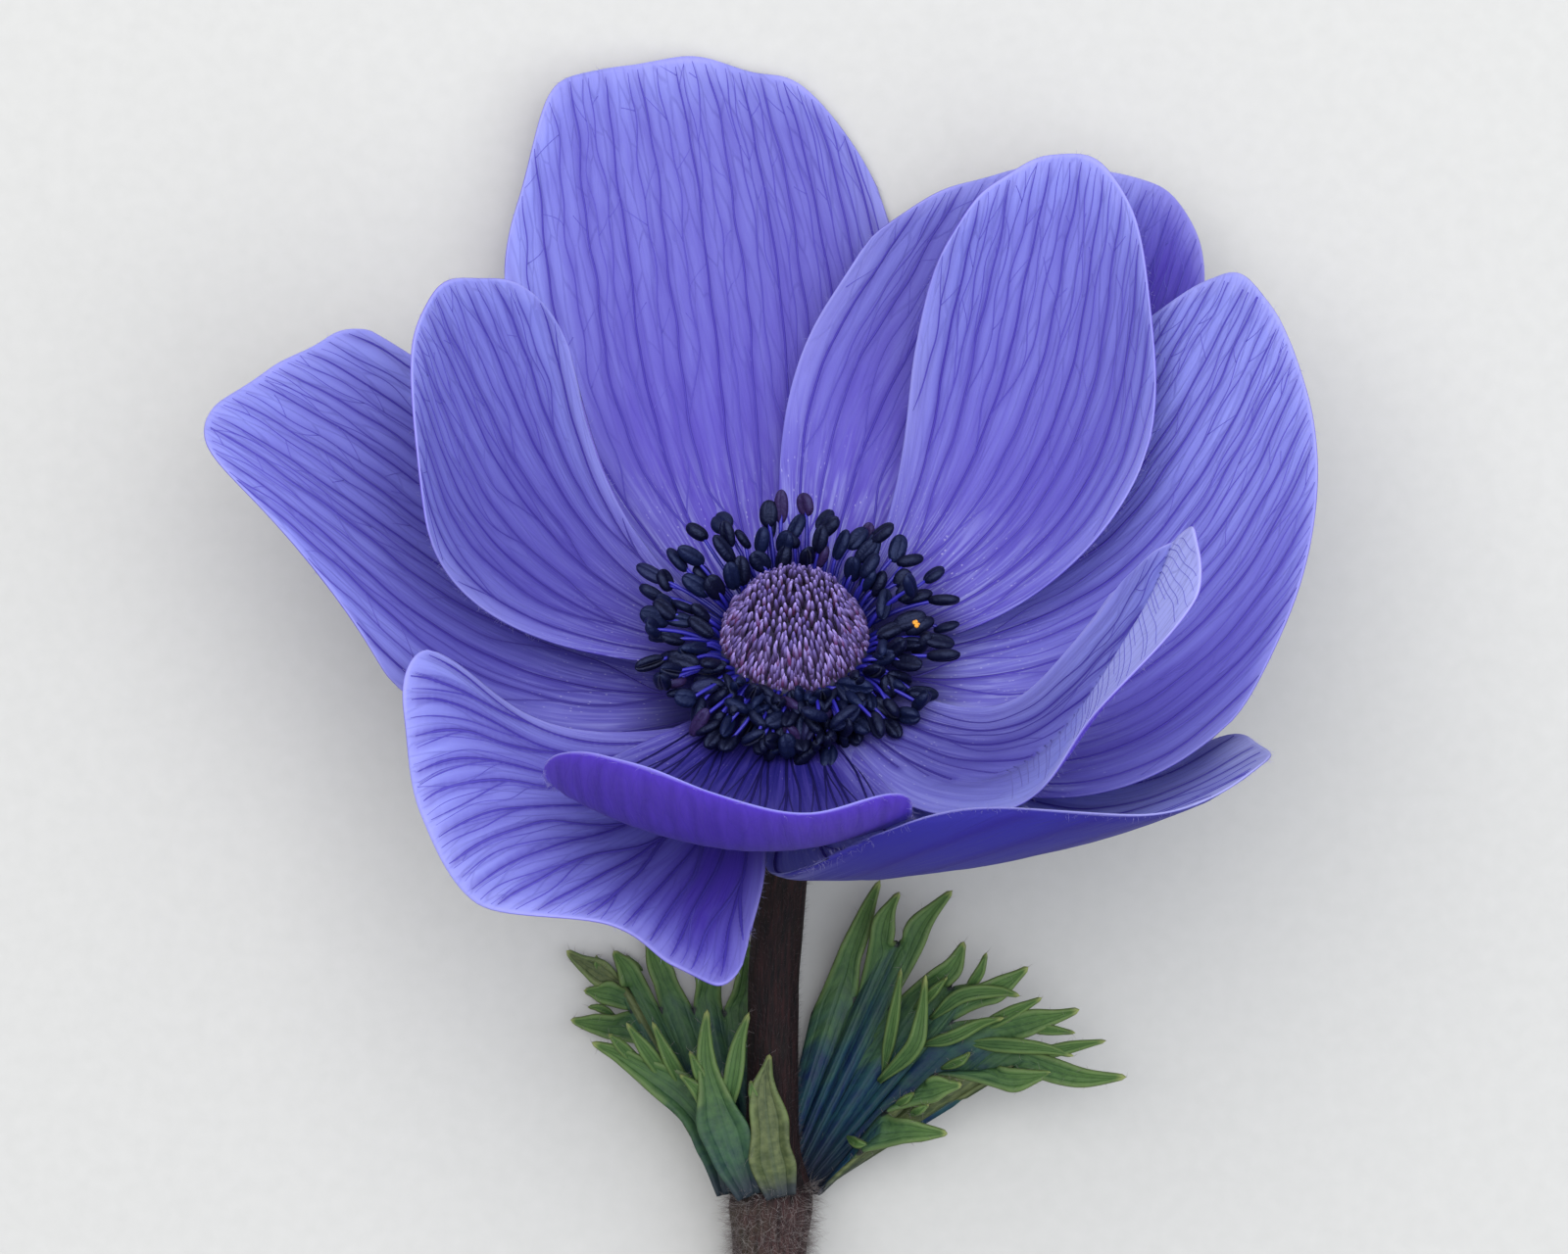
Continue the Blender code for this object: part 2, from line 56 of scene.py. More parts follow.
# Petals, close to the values of the solids. widths: half widths on the ccw and the cw side.
# trim_ccw, trim_cw: their scale along the blade. lift, sway, roll: angles of its middle line.
# cup: how far each side bends up. rim: length from the cw margin to the ccw one.
# tint: paler or deeper than the rest, partly painted light and shade for how each blade is lit.
# indigo: how far the dark heart spreads up the blade, partly painted shade under the stamens.
# ruffle: height of the waves at the margin. deep: one side darker with painted shade.
# The paler side setting: one side paler with painted light. A shaded underside: painted shade on its outer
# face.
# lean: how far the veins bend to one side at the rim. bold, crowd: stronger or closer veins.
# strip: where the crease of a folded margin starts and ends across the blade.
PETALS = {
    "petal_back": dict(
        azimuth=104, seat=-2.2, length=46.3, widths=(13.3, 14.1), belly=0.58, lift=(0, 23, 42, 45),
        sway=(0, 0, 8), rim=(0.68, 0.86, 0.95, 0.985, 0.99, 0.82, 0.68), trim_ccw=(0.94, 1.04),
        trim_cw=(1.09, 1.0), cup_ccw=(0, 11), cup_cw=(2, 21),
        tint=-0.10, indigo=0.0, painted_light_side=0.30, ruffle=0.24, lean=-0.34),
    "petal_back_right": dict(
        azimuth=54.5, seat=-0.5, length=42.5, widths=(13.7, 11.8), belly=0.55, lift=(2, 22, 36, 47),
        sway=(0, 1, 6), rim=(0.70, 0.87, 0.96, 0.95, 0.90, 0.78, 0.66), trim_ccw=(1.12, 0.91),
        trim_cw=(0.98, 0.95), cup_ccw=(8, 52), cup_cw=(-25, -19),
        tint=-0.09, indigo=0.0, deep=-0.52, ruffle=0.25),
    "petal_right": dict(
        azimuth=1.5, seat=0.8, length=43, widths=(11.6, 16.9), belly=0.44, lift=(0, 15, 40, 46),
        sway=(0, 14, 42, 58), rim=(0.46, 0.58, 0.81, 0.96, 1.02, 0.94, 0.83), trim_ccw=(1.12, 0.92),
        trim_cw=(1.22, 0.93, 0.71), cup_ccw=(26, -9), cup_cw=(0, 28),
        tint=0.28, indigo=0.04, deep=-0.30, ruffle=0.28),
    "petal_front_right": dict(
        azimuth=-52.5, seat=-2.6, length=36.5, widths=(12.3, 16.4), belly=0.43, lift=(-2, 11, 28, 41),
        sway=(0, 12, 41, 57), roll=(25, -5, -35, -39), rim=(0.40, 0.64, 0.86, 1.03, 0.96, 0.82, 0.66),
        trim_ccw=(0.97, 0.96, 0.94, 1.0, 1.15, 1.14), trim_cw=(0.93, 1.0, 1.04, 0.94, 0.93),
        cup_ccw=(1, 22), cup_cw=(8, 69, 107), curl=(0.52, 1.77),
        tint=0.62, indigo=0.0, ruffle=0.22, shaded_underside=1.0, crowd=-0.6),
    "petal_front_left": dict(
        azimuth=227.5, seat=-0.5, length=30, widths=(13.5, 18), belly=0.76, lift=(0, 0, 25, -27),
        sway=(9, -2, -13), rim=(0.71, 0.78, 0.85, 0.93, 0.965, 0.79, 0.77, 0.75, 0.64),
        trim_ccw=(0.40, 0.66, 0.90, 1.07, 1.39, 1.42), trim_cw=(0.32, 0.76, 1.22),
        cup_ccw=(40, 2), cup_cw=(-4, 54),
        tint=0.07, indigo=0.22, deep=0.52, ruffle=0.25, bold=1.0),
    "petal_left": dict(
        azimuth=167.5, seat=-1.3, length=43.7, widths=(9.7, 12.6), belly=0.54, lift=(1, 20, 40, 23),
        rim=(0.80, 0.85, 0.91, 0.975, 0.93, 0.63, 0.52), trim_ccw=(1.43, 1.06, 0.70),
        cup_ccw=(-42, 2), cup_cw=(20, 27),
        tint=0.14, indigo=0.38, ruffle=0.28),
    "petal_inner_left": dict(
        azimuth=153.5, seat=1.0, length=37, widths=(12, 7.6), belly=0.69, lift=(2, 18, 50, 67, 69),
        sway=(3, -4, 2), rim=(0.66, 0.84, 0.95, 1.0, 0.94, 0.83, 0.68), trim_ccw=(0.86, 0.98, 1.04, 0.98),
        trim_cw=(0.46, 1.30), cup_ccw=(20, 28), cup_cw=(-23, 53),
        tint=0.02, indigo=0.42, ruffle=0.22),
    "petal_inner_right": dict(
        azimuth=43.5, seat=2.0, length=40.5, widths=(7.8, 11.9), belly=0.58, lift=(-1, 26, 51, 52),
        sway=(-6, 7, 24, 33), rim=(0.52, 0.72, 0.91, 0.98, 0.93, 0.84, 0.70),
        trim_ccw=(0.54, 0.86, 1.08, 1.16), trim_cw=(1.20, 1.0, 0.78), cup_ccw=(-40, 75), cup_cw=(14, 57),
        tint=0.01, indigo=0.0, ruffle=0.22),
    "petal_inner_front_right": dict(
        azimuth=-37.5, seat=2.1, length=38.3, widths=(3.3, 9.8), belly=0.58, lift=(-1, 11, 52, 65, 68),
        sway=(-3, 6, 31, 34, 60), rim=(0.79, 0.96, 1.0, 1.02, 0.94, 0.84, 0.75), trim_ccw=(0.75, 1.10),
        trim_cw=(1.02, 0.92, 0.68), cup_ccw=(12, 50), cup_cw=(-8, 43),
        tint=0.24, indigo=0.50, ruffle=0.18, strip=(-1.05, 0.50), crowd=0.30),
    "petal_inner_front": dict(
        azimuth=257.5, seat=0.9, length=32.5, widths=(12.3, 12.4), belly=0.54, lift=(-1, 11, 32, 64, 84),
        sway=(-2, 1, 2), rim=(0.74, 0.93, 1.0, 0.97, 0.88, 0.86, 0.74), trim_ccw=(0.93, 1.0, 1.22),
        trim_cw=(0.90, 0.94, 1.07), cup_ccw=(19, 41), cup_cw=(12, 24),
        tint=0.0, indigo=1.0, ruffle=0.18, crowd=0.45),
}
CLAW_HALF_WIDTH, CLAW_START = 1.6, 2.6
PETAL_THICKNESS, PETAL_ROWS, PETAL_COLUMNS = 0.32, 118, 84
ARC_NODES, ARC_WEIGHTS = np.polynomial.legendre.leggauss(8)

# Veins: spacing at the widest place and how it narrows with the blade. Then for each rank from the
# main veins down: the share of the full width at which it starts, its half width and its change on
# a bold petal. The last rank is placed at random.
VEIN_SPACING, VEIN_FAN = 1.15, 1.2
VEIN_BIRTHS = (0.0, 0.42, 0.74)
VEIN_HALF_WIDTHS = np.array([0.168, 0.128, 0.088, 0.062])
VEIN_BOLDNESS = np.array([0.35, 0.5, 0.2, -0.2])
THREAD, CREASE_VEIN = 4, 5   # ranks of the threads between veins and of the veins on a fold


# Meshes

def unit(v):
    return v / np.maximum(np.linalg.norm(v, axis=-1, keepdims=True), 1e-12)


def smooth_step(low, high, x):
    t = np.clip((x - low) / (high - low), 0, 1)
    return t * t * (3 - 2 * t)


def spread(*parts):
    """Joins values of any shapes into vectors."""
    return np.stack(np.broadcast_arrays(*parts), -1)


def turns(count):
    return np.linspace(0, math.tau, count, endpoint=False)


def waves(seed, a, b, count=7):
    """A gentle uneven surface over two coordinates, about -1 to 1."""
    rng = np.random.default_rng(seed)
    total = np.zeros_like(a)
    for _ in range(count):
        angle, size, phase = rng.uniform(0, math.tau), rng.uniform(0.6, 1.4), rng.uniform(0, math.tau)
        total += np.cos(size * (math.cos(angle) * a + math.sin(angle) * b) + phase)
    return total / math.sqrt(count) / 1.2


def new_mesh(name, points, faces, values=None):
    """values: named vectors, one for each point."""
    mesh = bpy.data.meshes.new(name)
    mesh.from_pydata((np.asarray(points, float) * MM).tolist(), [], faces)
    for key, data in (values or {}).items():
        layer = mesh.attributes.new(key, "FLOAT_VECTOR", "POINT")
        layer.data.foreach_set("vector", np.ascontiguousarray(data, dtype=np.float32).ravel())
    return mesh


def link(name, data):
    obj = bpy.data.objects.new(name, data)
    bpy.context.scene.collection.objects.link(obj)
    return obj


def show(name, mesh, material, replaced=None):
    """One shown piece. replaced: the node that it stands for."""
    mesh.polygons.foreach_set("use_smooth", [True] * len(mesh.polygons))
    mesh.materials.append(material)
    obj = link(name, mesh)
    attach(obj, "root")
    if replaced:
        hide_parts(replaced)
    return obj


def make(name, points, faces, material, replaced=None, values=None, recalc=True):
    mesh = new_mesh(name, points, faces, values)
    if recalc:
        bm = bmesh.new()
        bm.from_mesh(mesh)
        bmesh.ops.recalc_face_normals(bm, faces=bm.faces)
        bm.to_mesh(mesh)
        bm.free()
    return show(name, mesh, material, replaced)


def tube_faces(starts, stations, sides):
    """Closed tubes: rings of points one after another from each start, with both ends capped."""
    starts, side = np.reshape(starts, (-1, 1, 1)), np.arange(sides)
    row = sides * np.arange(stations - 1)[:, None]
    a, b = row + side, row + (side + 1) % sides
    quads = np.stack([a, b, b + sides, a + sides], -1).reshape(-1, 4)
    parts = (quads, side[None, ::-1], side[None] + (stations - 1) * sides)
    return sum(((starts + part).reshape(-1, part.shape[-1]).tolist() for part in parts), [])


def ring(centre, radius, first, second, sides):
    """Points round many centres at once, one array for each side."""
    return [centre + radius * (math.cos(t) * first + math.sin(t) * second) for t in turns(sides)]


def bundle(name, rings, sides, grain, material):
    """Many tubes alike in one piece. rings: each point of a tube, as its places on all of them."""
    points = np.stack(rings, 1)
    count, per = points.shape[:2]
    faces = tube_faces(per * np.arange(count), per // sides, sides)
    make(name, points.reshape(-1, 3), faces, material,
         values={"grain": spread(*grain).reshape(-1, 3)})


def hairs(name, roots, ways, lengths, radius, material, bend, seed, segments=2):
    """Thin cones with three sides. Each leaves its root along its way and bends a little."""
    rng = np.random.default_rng(seed)
    count, ways, lengths = len(roots), unit(ways), lengths[:, None]
    first = unit(np.cross(ways, unit(rng.normal(size=(count, 3)))))
    second = np.cross(ways, first)
    stations = np.linspace(0, 1, segments + 1)
    rings = []
    for s in stations[:-1]:
        centre = roots + s * lengths * ways + bend * s * s * lengths * first
        rings += ring(centre, radius * (1 - 0.6 * s), first, second, 3)
    rings.append(roots + lengths * ways + bend * lengths * first)
    per = len(rings)
    points = np.stack(rings, 1).reshape(-1, 3)
    points[:, 2] = np.maximum(points[:, 2], 0.0)
    starts, side = per * np.arange(count), np.arange(3)
    tips = spread(per - 4 + side, per - 4 + (side + 1) % 3, per - 1)
    # the caps at the far ends give way to the tips
    faces = tube_faces(starts, segments, 3)[:-count] + (starts[:, None, None] + tips).reshape(-1, 3).tolist()
    tone = spread(np.tile([*np.repeat(stations[:-1], 3), 1.0], count), 0, 0)
    make(name, points, faces, material, values={"grain": tone}, recalc=False)


# Materials

class Field:
    """An output of a shader node. Sums, differences, products and quotients are further nodes."""

    def __init__(self, socket):
        self.socket, self.tree = socket, socket.id_data

    def __add__(self, other):
        return maths("ADD", self, other)

    def __sub__(self, other):
        return maths("SUBTRACT", self, other)

    def __rsub__(self, other):
        return maths("SUBTRACT", other, self)

    def __mul__(self, other):
        return maths("MULTIPLY", self, other)

    def __truediv__(self, other):
        return maths("DIVIDE", self, other)

    __radd__, __rmul__ = __add__, __mul__

    def held(self):
        """Kept between 0 and 1."""
        self.socket.node.use_clamp = True
        return self


def join(value, socket):
    """A field is linked to the socket, a constant is set on it."""
    if isinstance(value, Field):
        value.tree.links.new(value.socket, socket)
    else:
        socket.default_value = value


def node(tree, kind, inputs=None, **settings):
    made = tree.nodes.new(kind)
    for key, value in settings.items():
        setattr(made, key, value)
    for key, value in (inputs or {}).items():
        join(value, made.inputs[key])
    return made


def maths(operation, a, b=0.0):
    tree = (a if isinstance(a, Field) else b).tree
    return Field(node(tree, "ShaderNodeMath", {0: a, 1: b}, operation=operation).outputs[0])


def fade(value, low, high, start=0.0, end=1.0):
    """start up to low, end from high on, smooth between."""
    return Field(node(value.tree, "ShaderNodeMapRange",
                      {"Value": value, "From Min": low, "From Max": high, "To Min": start, "To Max": end},
                      interpolation_type="SMOOTHSTEP").outputs["Result"])


def mix(share, *colours, blend="MIX"):
    tree = next(value.tree for value in (share, *colours) if isinstance(value, Field))
    a, b = (value if isinstance(value, Field) else (*value, 1.0) for value in colours)
    return Field(node(tree, "ShaderNodeMix", {0: share, 6: a, 7: b}, data_type="RGBA", blend_type=blend,
                      clamp_factor=True).outputs[2])


def coated(colour, *coats):
    """Lays coats over a colour, each with the field that says how thick it is."""
    for share, paint in coats:
        colour = mix(share, colour, paint)
    return colour


def noise(vector, scale, detail=2.0, roughness=0.5):
    return Field(node(vector.tree, "ShaderNodeTexNoise", {"Vector": vector, "Scale": scale, "Detail": detail,
                                                          "Roughness": roughness}).outputs[0])


def cells(vector, feature, **more):
    return node(vector.tree, "ShaderNodeTexVoronoi", {"Vector": vector, "Scale": 1.0, **more},
                voronoi_dimensions="2D", feature=feature).outputs


def combine(x, y, z=0.0):
    return Field(node(x.tree, "ShaderNodeCombineXYZ", {0: x, 1: y, 2: z}).outputs[0])


def new_material(name):
    made = bpy.data.materials.new(name)
    made.use_nodes = True
    return made


def attribute(material, name):
    """A named vector of the mesh, whole and as its three parts."""
    tree = material.node_tree
    whole = Field(node(tree, "ShaderNodeAttribute", attribute_name=name,
                       attribute_type="GEOMETRY").outputs["Vector"])
    return whole, *(Field(part) for part in node(tree, "ShaderNodeSeparateXYZ", {0: whole}).outputs)


def own_place(material):
    return Field(node(material.node_tree, "ShaderNodeTexCoord").outputs["Object"])


def dress(material, colour, rough, bump=None, through=0.0, glow=None, **more):
    """Joins the fields to the material's shader. bump: height, strength and depth in mm.
    through: the share of the light that a thin blade lets pass, glow: what colours it."""
    tree = material.node_tree
    shader = tree.nodes["Principled BSDF"]
    more = {key.replace("_", " "): value for key, value in more.items()}
    if bump:
        height, strength, depth = bump
        more["Normal"] = Field(node(tree, "ShaderNodeBump", {"Height": height, "Strength": strength,
                                                             "Distance": depth * MM}).outputs[0])
    for key, value in {"Base Color": colour, "Roughness": rough, **more}.items():
        join(value, shader.inputs[key])
    if through:
        light = mix(1.0, colour, glow, blend="MULTIPLY") if glow else colour
        light = Field(node(tree, "ShaderNodeBsdfTranslucent", {"Color": light}).outputs[0])
        both = node(tree, "ShaderNodeMixShader", {0: through, 1: Field(shader.outputs[0]), 2: light})
        tree.links.new(both.outputs[0], tree.nodes["Material Output"].inputs["Surface"])
    return material


PETAL_GLOW, LEAF_GLOW = (0.95, 0.82, 1.0), (1.0, 1.0, 0.6)


def petal_skin():
    skin = new_material("petal_skin")
    at, x, y, furrow = attribute(skin, "vein_at")
    _, wide, long, inner_face = attribute(skin, "vein_scale")
    _, _, share, edge = attribute(skin, "where")
    # mood: the blade's tint, dark heart and shaded underside, which carry painted light and shade as well as
    # its own tones
    _, tint, indigo, shaded_underside = attribute(skin, "mood")

    # Finest veins: a net of long cells, drawn at the same width whichever way they run
    x = x + (noise(at, 0.45) - 0.5) * 1.5 + (noise(at, 1.7) - 0.5) * 0.35
    net_scale, step, diagonal = 1.3, 0.02, 0.7071
    here, ahead = x * (net_scale * diagonal), y * (net_scale * diagonal)

    def to_line(move):
        moved = here + move
        found = cells(combine(moved + ahead, moved - ahead), "DISTANCE_TO_EDGE", Randomness=0.75)
        return Field(found["Distance"])

    near = to_line(0.0)
    slope = (to_line(step * diagonal) - near) / step
    across = maths("MINIMUM", slope * slope, 1.0)
    wide, long = wide * net_scale, long * net_scale
    sideways = across * (wide * wide)
    total = sideways + (1.0 - across) * (long * long)
    vein = fade(near / maths("SQRT", total), 0.02, 0.12, 1.0, 0.0)
    vein = vein * fade(sideways / total, 0.25, 0.75, 0.3, 1.0)
    vein = vein * fade(share, 0.2, 0.8, 0.08, 0.24) * fade(edge, 0.0, 0.5, 0.25, 1.0)
    vein = vein * fade(inner_face, 0.0, 1.0, 0.5, 1.0)

    # Body: deep near the heart, paler towards the rim and the margins. The ramp is partly the blade's own
    # colour, partly painted shade deep in the cup and painted sheen along the margins; each blade's tint is
    # partly painted light and shade
    level = fade(share, 0.12, 0.95, 0.14, 0.64) + tint
    level = level + fade(edge, 0.0, 5.0, 0.32, 0.0) * fade(share, 0.15, 0.5)
    level = level + (noise(at, 1.3, 4.0, 0.6) - 0.5) * 0.45
    inside = mix(level, (0.098, 0.054, 0.535), (0.345, 0.380, 0.895))
    # past the top of the ramp the colour pales further: painted light on folded strips and brightly tinted
    # blades
    inside = mix(fade(level, 1.15, 1.60), inside, (0.540, 0.590, 0.980))
    outside = mix(level, (0.050, 0.014, 0.380), (0.130, 0.058, 0.640))
    # a blade whose underside is in view gets a darker, greyer outer face: painted shade
    outside = mix(shaded_underside, outside, (0.035, 0.030, 0.310))
    # the furrow beside a vein is darkened, partly the vein's own soft edge and partly painted shade in the
    # furrow
    furrow_shade = mix(inner_face, (0.024, 0.008, 0.230), (0.078, 0.050, 0.455))

    # Painted sheen and painted glints near the heart, a dark heart and root that are partly painted shade,
    # a pale rim that is a painted highlight and margins paler with painted sheen
    lit = (1.0 - indigo).held()
    streak = noise(combine(x * 3.0, y * 2.0), 1.0, 3.0)
    # painted sheen in silvery streaks near the heart, then painted glints that sparkle there
    painted_sheen = fade(share, 0.18, 0.46, 1.0, 0.0) * lit * fade(streak, 0.42, 0.66, 0.1, 1.0)
    speck = cells(combine(x * 4.0, y * 22.0), "F1")
    chosen = Field(node(at.tree, "ShaderNodeSeparateColor", {0: Field(speck["Color"])}).outputs[0])
    painted_glint = fade(Field(speck["Distance"]), 0.05, 0.25, 1.0, 0.0) * fade(chosen, 0.86, 0.9)
    painted_glint = painted_glint * fade(share, 0.2, 0.42, 1.0, 0.0)
    # the dark heart: partly the blade's own indigo, partly painted shade under the stamens
    heart_and_shade = (fade(share, 0.16, 0.85, 1.0, 0.0) * indigo).held() * fade(streak, 0.35, 0.68, 1.0, 0.70)
    upper = fade(share, 0.22, 0.55)
    # a thin pale line along the edge is a painted highlight; the wider pale band inside the margins is
    # partly the blade's own paler colour and partly painted sheen
    rim = fade(edge, 0.0, 0.30, 1.0, 0.0) * (upper * 0.34)
    whiter_margin_and_sheen = fade(edge, 0.0, 2.2, 1.0, 0.0) * (upper * 0.22) * lit
    colour = coated(mix(inner_face, outside, inside),
                    (furrow * fade(inner_face, 0.0, 1.0, 0.60, 0.80), furrow_shade),
                    (painted_sheen * 0.66, (0.40, 0.42, 0.86)),
                    (painted_glint * 0.55, (0.75, 0.75, 0.95)),
                    (heart_and_shade, (0.014, 0.012, 0.190)),
                    # the near-black root: partly the blade's own dark base, partly painted shade among the
                    # filaments
                    (fade(share, 0.09, 0.21, 0.95, 0.0), (0.008, 0.007, 0.105)),
                    (vein * 0.80, (0.040, 0.022, 0.335)),
                    (whiter_margin_and_sheen * inner_face, (0.50, 0.49, 0.88)),
                    (rim, (0.48, 0.47, 0.92)))
    grain = noise(combine(x * 5.0, y * 3.0), 1.0, 3.0)
    return dress(skin, colour, 0.46 + grain * 0.2, (grain * 0.5 - vein * 0.7, 0.7, 0.16), 0.42, PETAL_GLOW,
                 Specular_IOR_Level=0.22, Sheen_Weight=0.06, Sheen_Roughness=0.4)


def vein_skin():
    skin = new_material("vein_skin")
    _, rank, share, pick = attribute(skin, "tone")
    _, _, indigo, _ = attribute(skin, "mood")
    colour = coated(mix(fade(rank, 0.0, 3.0), (0.076, 0.050, 0.465), (0.140, 0.115, 0.600)),
                    (fade(rank, 3.2, 4.0) * 0.5, (0.180, 0.160, 0.650)),
                    (fade(rank, 4.0, 5.0), (0.290, 0.290, 0.800)),
                    (fade(share, 0.5, 1.0, 0.0, 0.30), (0.160, 0.155, 0.660)),
                    (pick * 0.3, (0.080, 0.060, 0.500)),
                    # the dark heart and root over the veins: partly their own colour, partly painted shade
                    # under the stamens
                    ((fade(share, 0.16, 0.85, 1.0, 0.0) * indigo).held(), (0.006, 0.005, 0.080)),
                    (fade(share, 0.06, 0.2, 0.8, 0.0), (0.006, 0.005, 0.080)))
    return dress(skin, colour, 0.55, None, 0.42, PETAL_GLOW, Specular_IOR_Level=0.3)


def stem_skin():
    skin = new_material("stem_skin")
    at, x, y, woolly = attribute(skin, "along")
    streak = noise(combine(x * 2.2, y * 0.22), 1.6, 4.0, 0.65)
    patch = noise(at, 0.35, 3.0)
    pedicel = coated(mix(fade(streak, 0.35, 0.75), (0.003, 0.002, 0.003), (0.026, 0.009, 0.010)),
                     (fade(patch, 0.5, 0.75) * 0.35, (0.014, 0.010, 0.008)))
    scape = coated(mix(fade(streak, 0.3, 0.75), (0.014, 0.007, 0.008), (0.062, 0.032, 0.032)),
                   (fade(patch, 0.45, 0.7) * 0.35, (0.050, 0.050, 0.026)))
    fuzz = noise(combine(x * 6.0, y), 1.5, 3.0)
    return dress(skin, mix(woolly, pedicel, scape), 0.5 + streak * 0.25, (streak + fuzz * 0.4, 0.8, 0.25),
                 Specular_IOR_Level=0.16)


def cut_face():
    skin = new_material("stem_cut_face")
    at, from_middle, _, _ = attribute(skin, "along")
    grain = noise(at, 9.0, 3.0)
    colour = coated(mix(fade(from_middle, 0.2, 0.85), (0.42, 0.44, 0.24), (0.30, 0.33, 0.13)),
                    (fade(grain, 0.45, 0.7) * 0.5, (0.16, 0.14, 0.07)))
    return dress(skin, colour, 0.45, (grain, 0.6, 0.2))


def bract_skin():
    skin = new_material("bract_skin")
    _, across, along, length = attribute(skin, "leaf")
    _, upper, teal, notch = attribute(skin, "leaf_more")
    wide = maths("ABSOLUTE", across)
    grain = noise(combine(across * 1.4, length * 0.55, length), 1.3, 4.0, 0.6)
    patch = noise(combine(across, length, along), 0.6, 3.0)
    green = coated(mix(fade(grain, 0.2, 0.8), (0.022, 0.064, 0.024), (0.066, 0.145, 0.046)),
                   (fade(along, 1.0, 1.75, 0.0, 0.5), (0.085, 0.170, 0.030)))
    deep = mix(fade(grain, 0.25, 0.75), (0.005, 0.018, 0.082), (0.012, 0.066, 0.082))
    inner = mix(fade(along + (patch - 0.5) * 0.9, 0.45, 1.15, 1.0, 0.0) * teal, green, deep)
    outer = mix(fade(grain, 0.3, 0.75), (0.050, 0.072, 0.026), (0.125, 0.155, 0.062))
    side_rib = maths("ABSOLUTE", wide - 0.55)
    ribs = maths("MAXIMUM", fade(wide, 0.03, 0.13, 1.0, 0.0), fade(side_rib, 0.02, 0.10, 1.0, 0.0) * 0.6)
    rim = fade(wide, 0.62, 1.0) * fade(along, 0.98, 1.1)
    colour = coated(mix(upper, outer, inner),
                    (ribs * 0.20, (0.012, 0.045, 0.040)),
                    (rim * 0.42, (0.170, 0.240, 0.080)),
                    (fade(along, 0.05, 0.42, 0.85, 0.0), (0.016, 0.020, 0.040)),
                    (fade(along, 1.88, 2.0) * 0.8, (0.360, 0.400, 0.140)),
                    (fade(notch, 0.22, 0.42, 0.85, 0.0), (0.010, 0.008, 0.020)))
    return dress(skin, colour, 0.40 + grain * 0.25, (grain - ribs * 0.5, 0.6, 0.14), 0.22, LEAF_GLOW,
                 Specular_IOR_Level=0.3)


def anther_skin():
    skin = new_material("anther_skin")
    _, groove, pick, _ = attribute(skin, "grain")
    rough = noise(own_place(skin), 3200, 3.0, 0.65)
    lips = fade(groove, 0.10, 0.18) * fade(groove, 0.22, 0.34, 1.0, 0.0)
    # the groove is darkened almost to black: painted shade in the groove between the lobes
    colour = coated(mix(fade(pick, 0.3, 0.9), (0.0020, 0.0024, 0.0120), (0.0040, 0.0070, 0.0320)),
                    (fade(pick, 0.88, 0.92), mix(rough, (0.008, 0.004, 0.025), (0.035, 0.018, 0.080))),
                    (fade(rough, 0.55, 0.85) * 0.5, (0.012, 0.018, 0.040)),
                    (lips * 0.6, (0.050, 0.055, 0.090)),
                    (fade(groove, 0.05, 0.12, 0.9, 0.0), (0.001, 0.001, 0.003)))
    return dress(skin, colour, 0.26 + rough * 0.3, (rough, 0.7, 0.12),
                 Specular_IOR_Level=0.34, Specular_Tint=(0.40, 0.50, 1.0, 1.0))


def filament_skin():
    skin = new_material("filament_skin")
    _, along, pick, length = attribute(skin, "grain")
    grain = noise(combine(along, pick * 30.0, length), 3.0)
    colour = coated(mix(fade(along, 0.1, 0.9), (0.003, 0.004, 0.130), (0.026, 0.020, 0.400)),
                    (grain * 0.25, (0.02, 0.02, 0.35)))
    return dress(skin, colour, 0.42, (grain, 0.3, 0.05), 0.25)


def style_skin():
    skin = new_material("style_skin")
    _, along, pick, low = attribute(skin, "grain")
    grain = noise(combine(along * 4.0, pick * 60.0), 1.0, 3.0)
    root = coated(mix(fade(pick, 0.6, 0.98), (0.020, 0.006, 0.050), (0.100, 0.010, 0.080)),
                  (low * 0.8, (0.046, 0.010, 0.070)))
    tip = mix(fade(pick, 0.1, 0.9), (0.120, 0.085, 0.340), (0.330, 0.255, 0.660))
    colour = coated(root, (fade(along, fade(low, 0.0, 1.0, 0.30, 0.55), 1.0), tip),
                    (grain * 0.35, (0.10, 0.06, 0.14)))
    return dress(skin, colour, 0.5, (grain, 0.4, 0.05), Sheen_Weight=0.04)


def plain_skin(name, low, high, scale):
    """A mottled surface in the piece's own coordinates."""
    skin = new_material(name)
    patch = noise(own_place(skin), scale, 4.0, 0.6)
    return dress(skin, mix(fade(patch, 0.3, 0.7), low, high), 0.6 + patch * 0.15, (patch, 0.5, 0.1))


def hair_skin(name, root, tip):
    skin = new_material(name)
    return dress(skin, mix(attribute(skin, "grain")[1], root, tip), 0.45, None, 0.3)


PETAL_SKIN, VEIN_SKIN, STEM_SKIN, CUT_FACE = petal_skin(), vein_skin(), stem_skin(), cut_face()
BRACT_SKIN, ANTHER_SKIN = bract_skin(), anther_skin()
FILAMENT_SKIN, STYLE_SKIN = filament_skin(), style_skin()
# the core's near-black violet shows between the styles: partly painted shade between them
DOME_CORE = plain_skin("pistil_core", (0.010, 0.005, 0.040), (0.030, 0.014, 0.085), 2500)
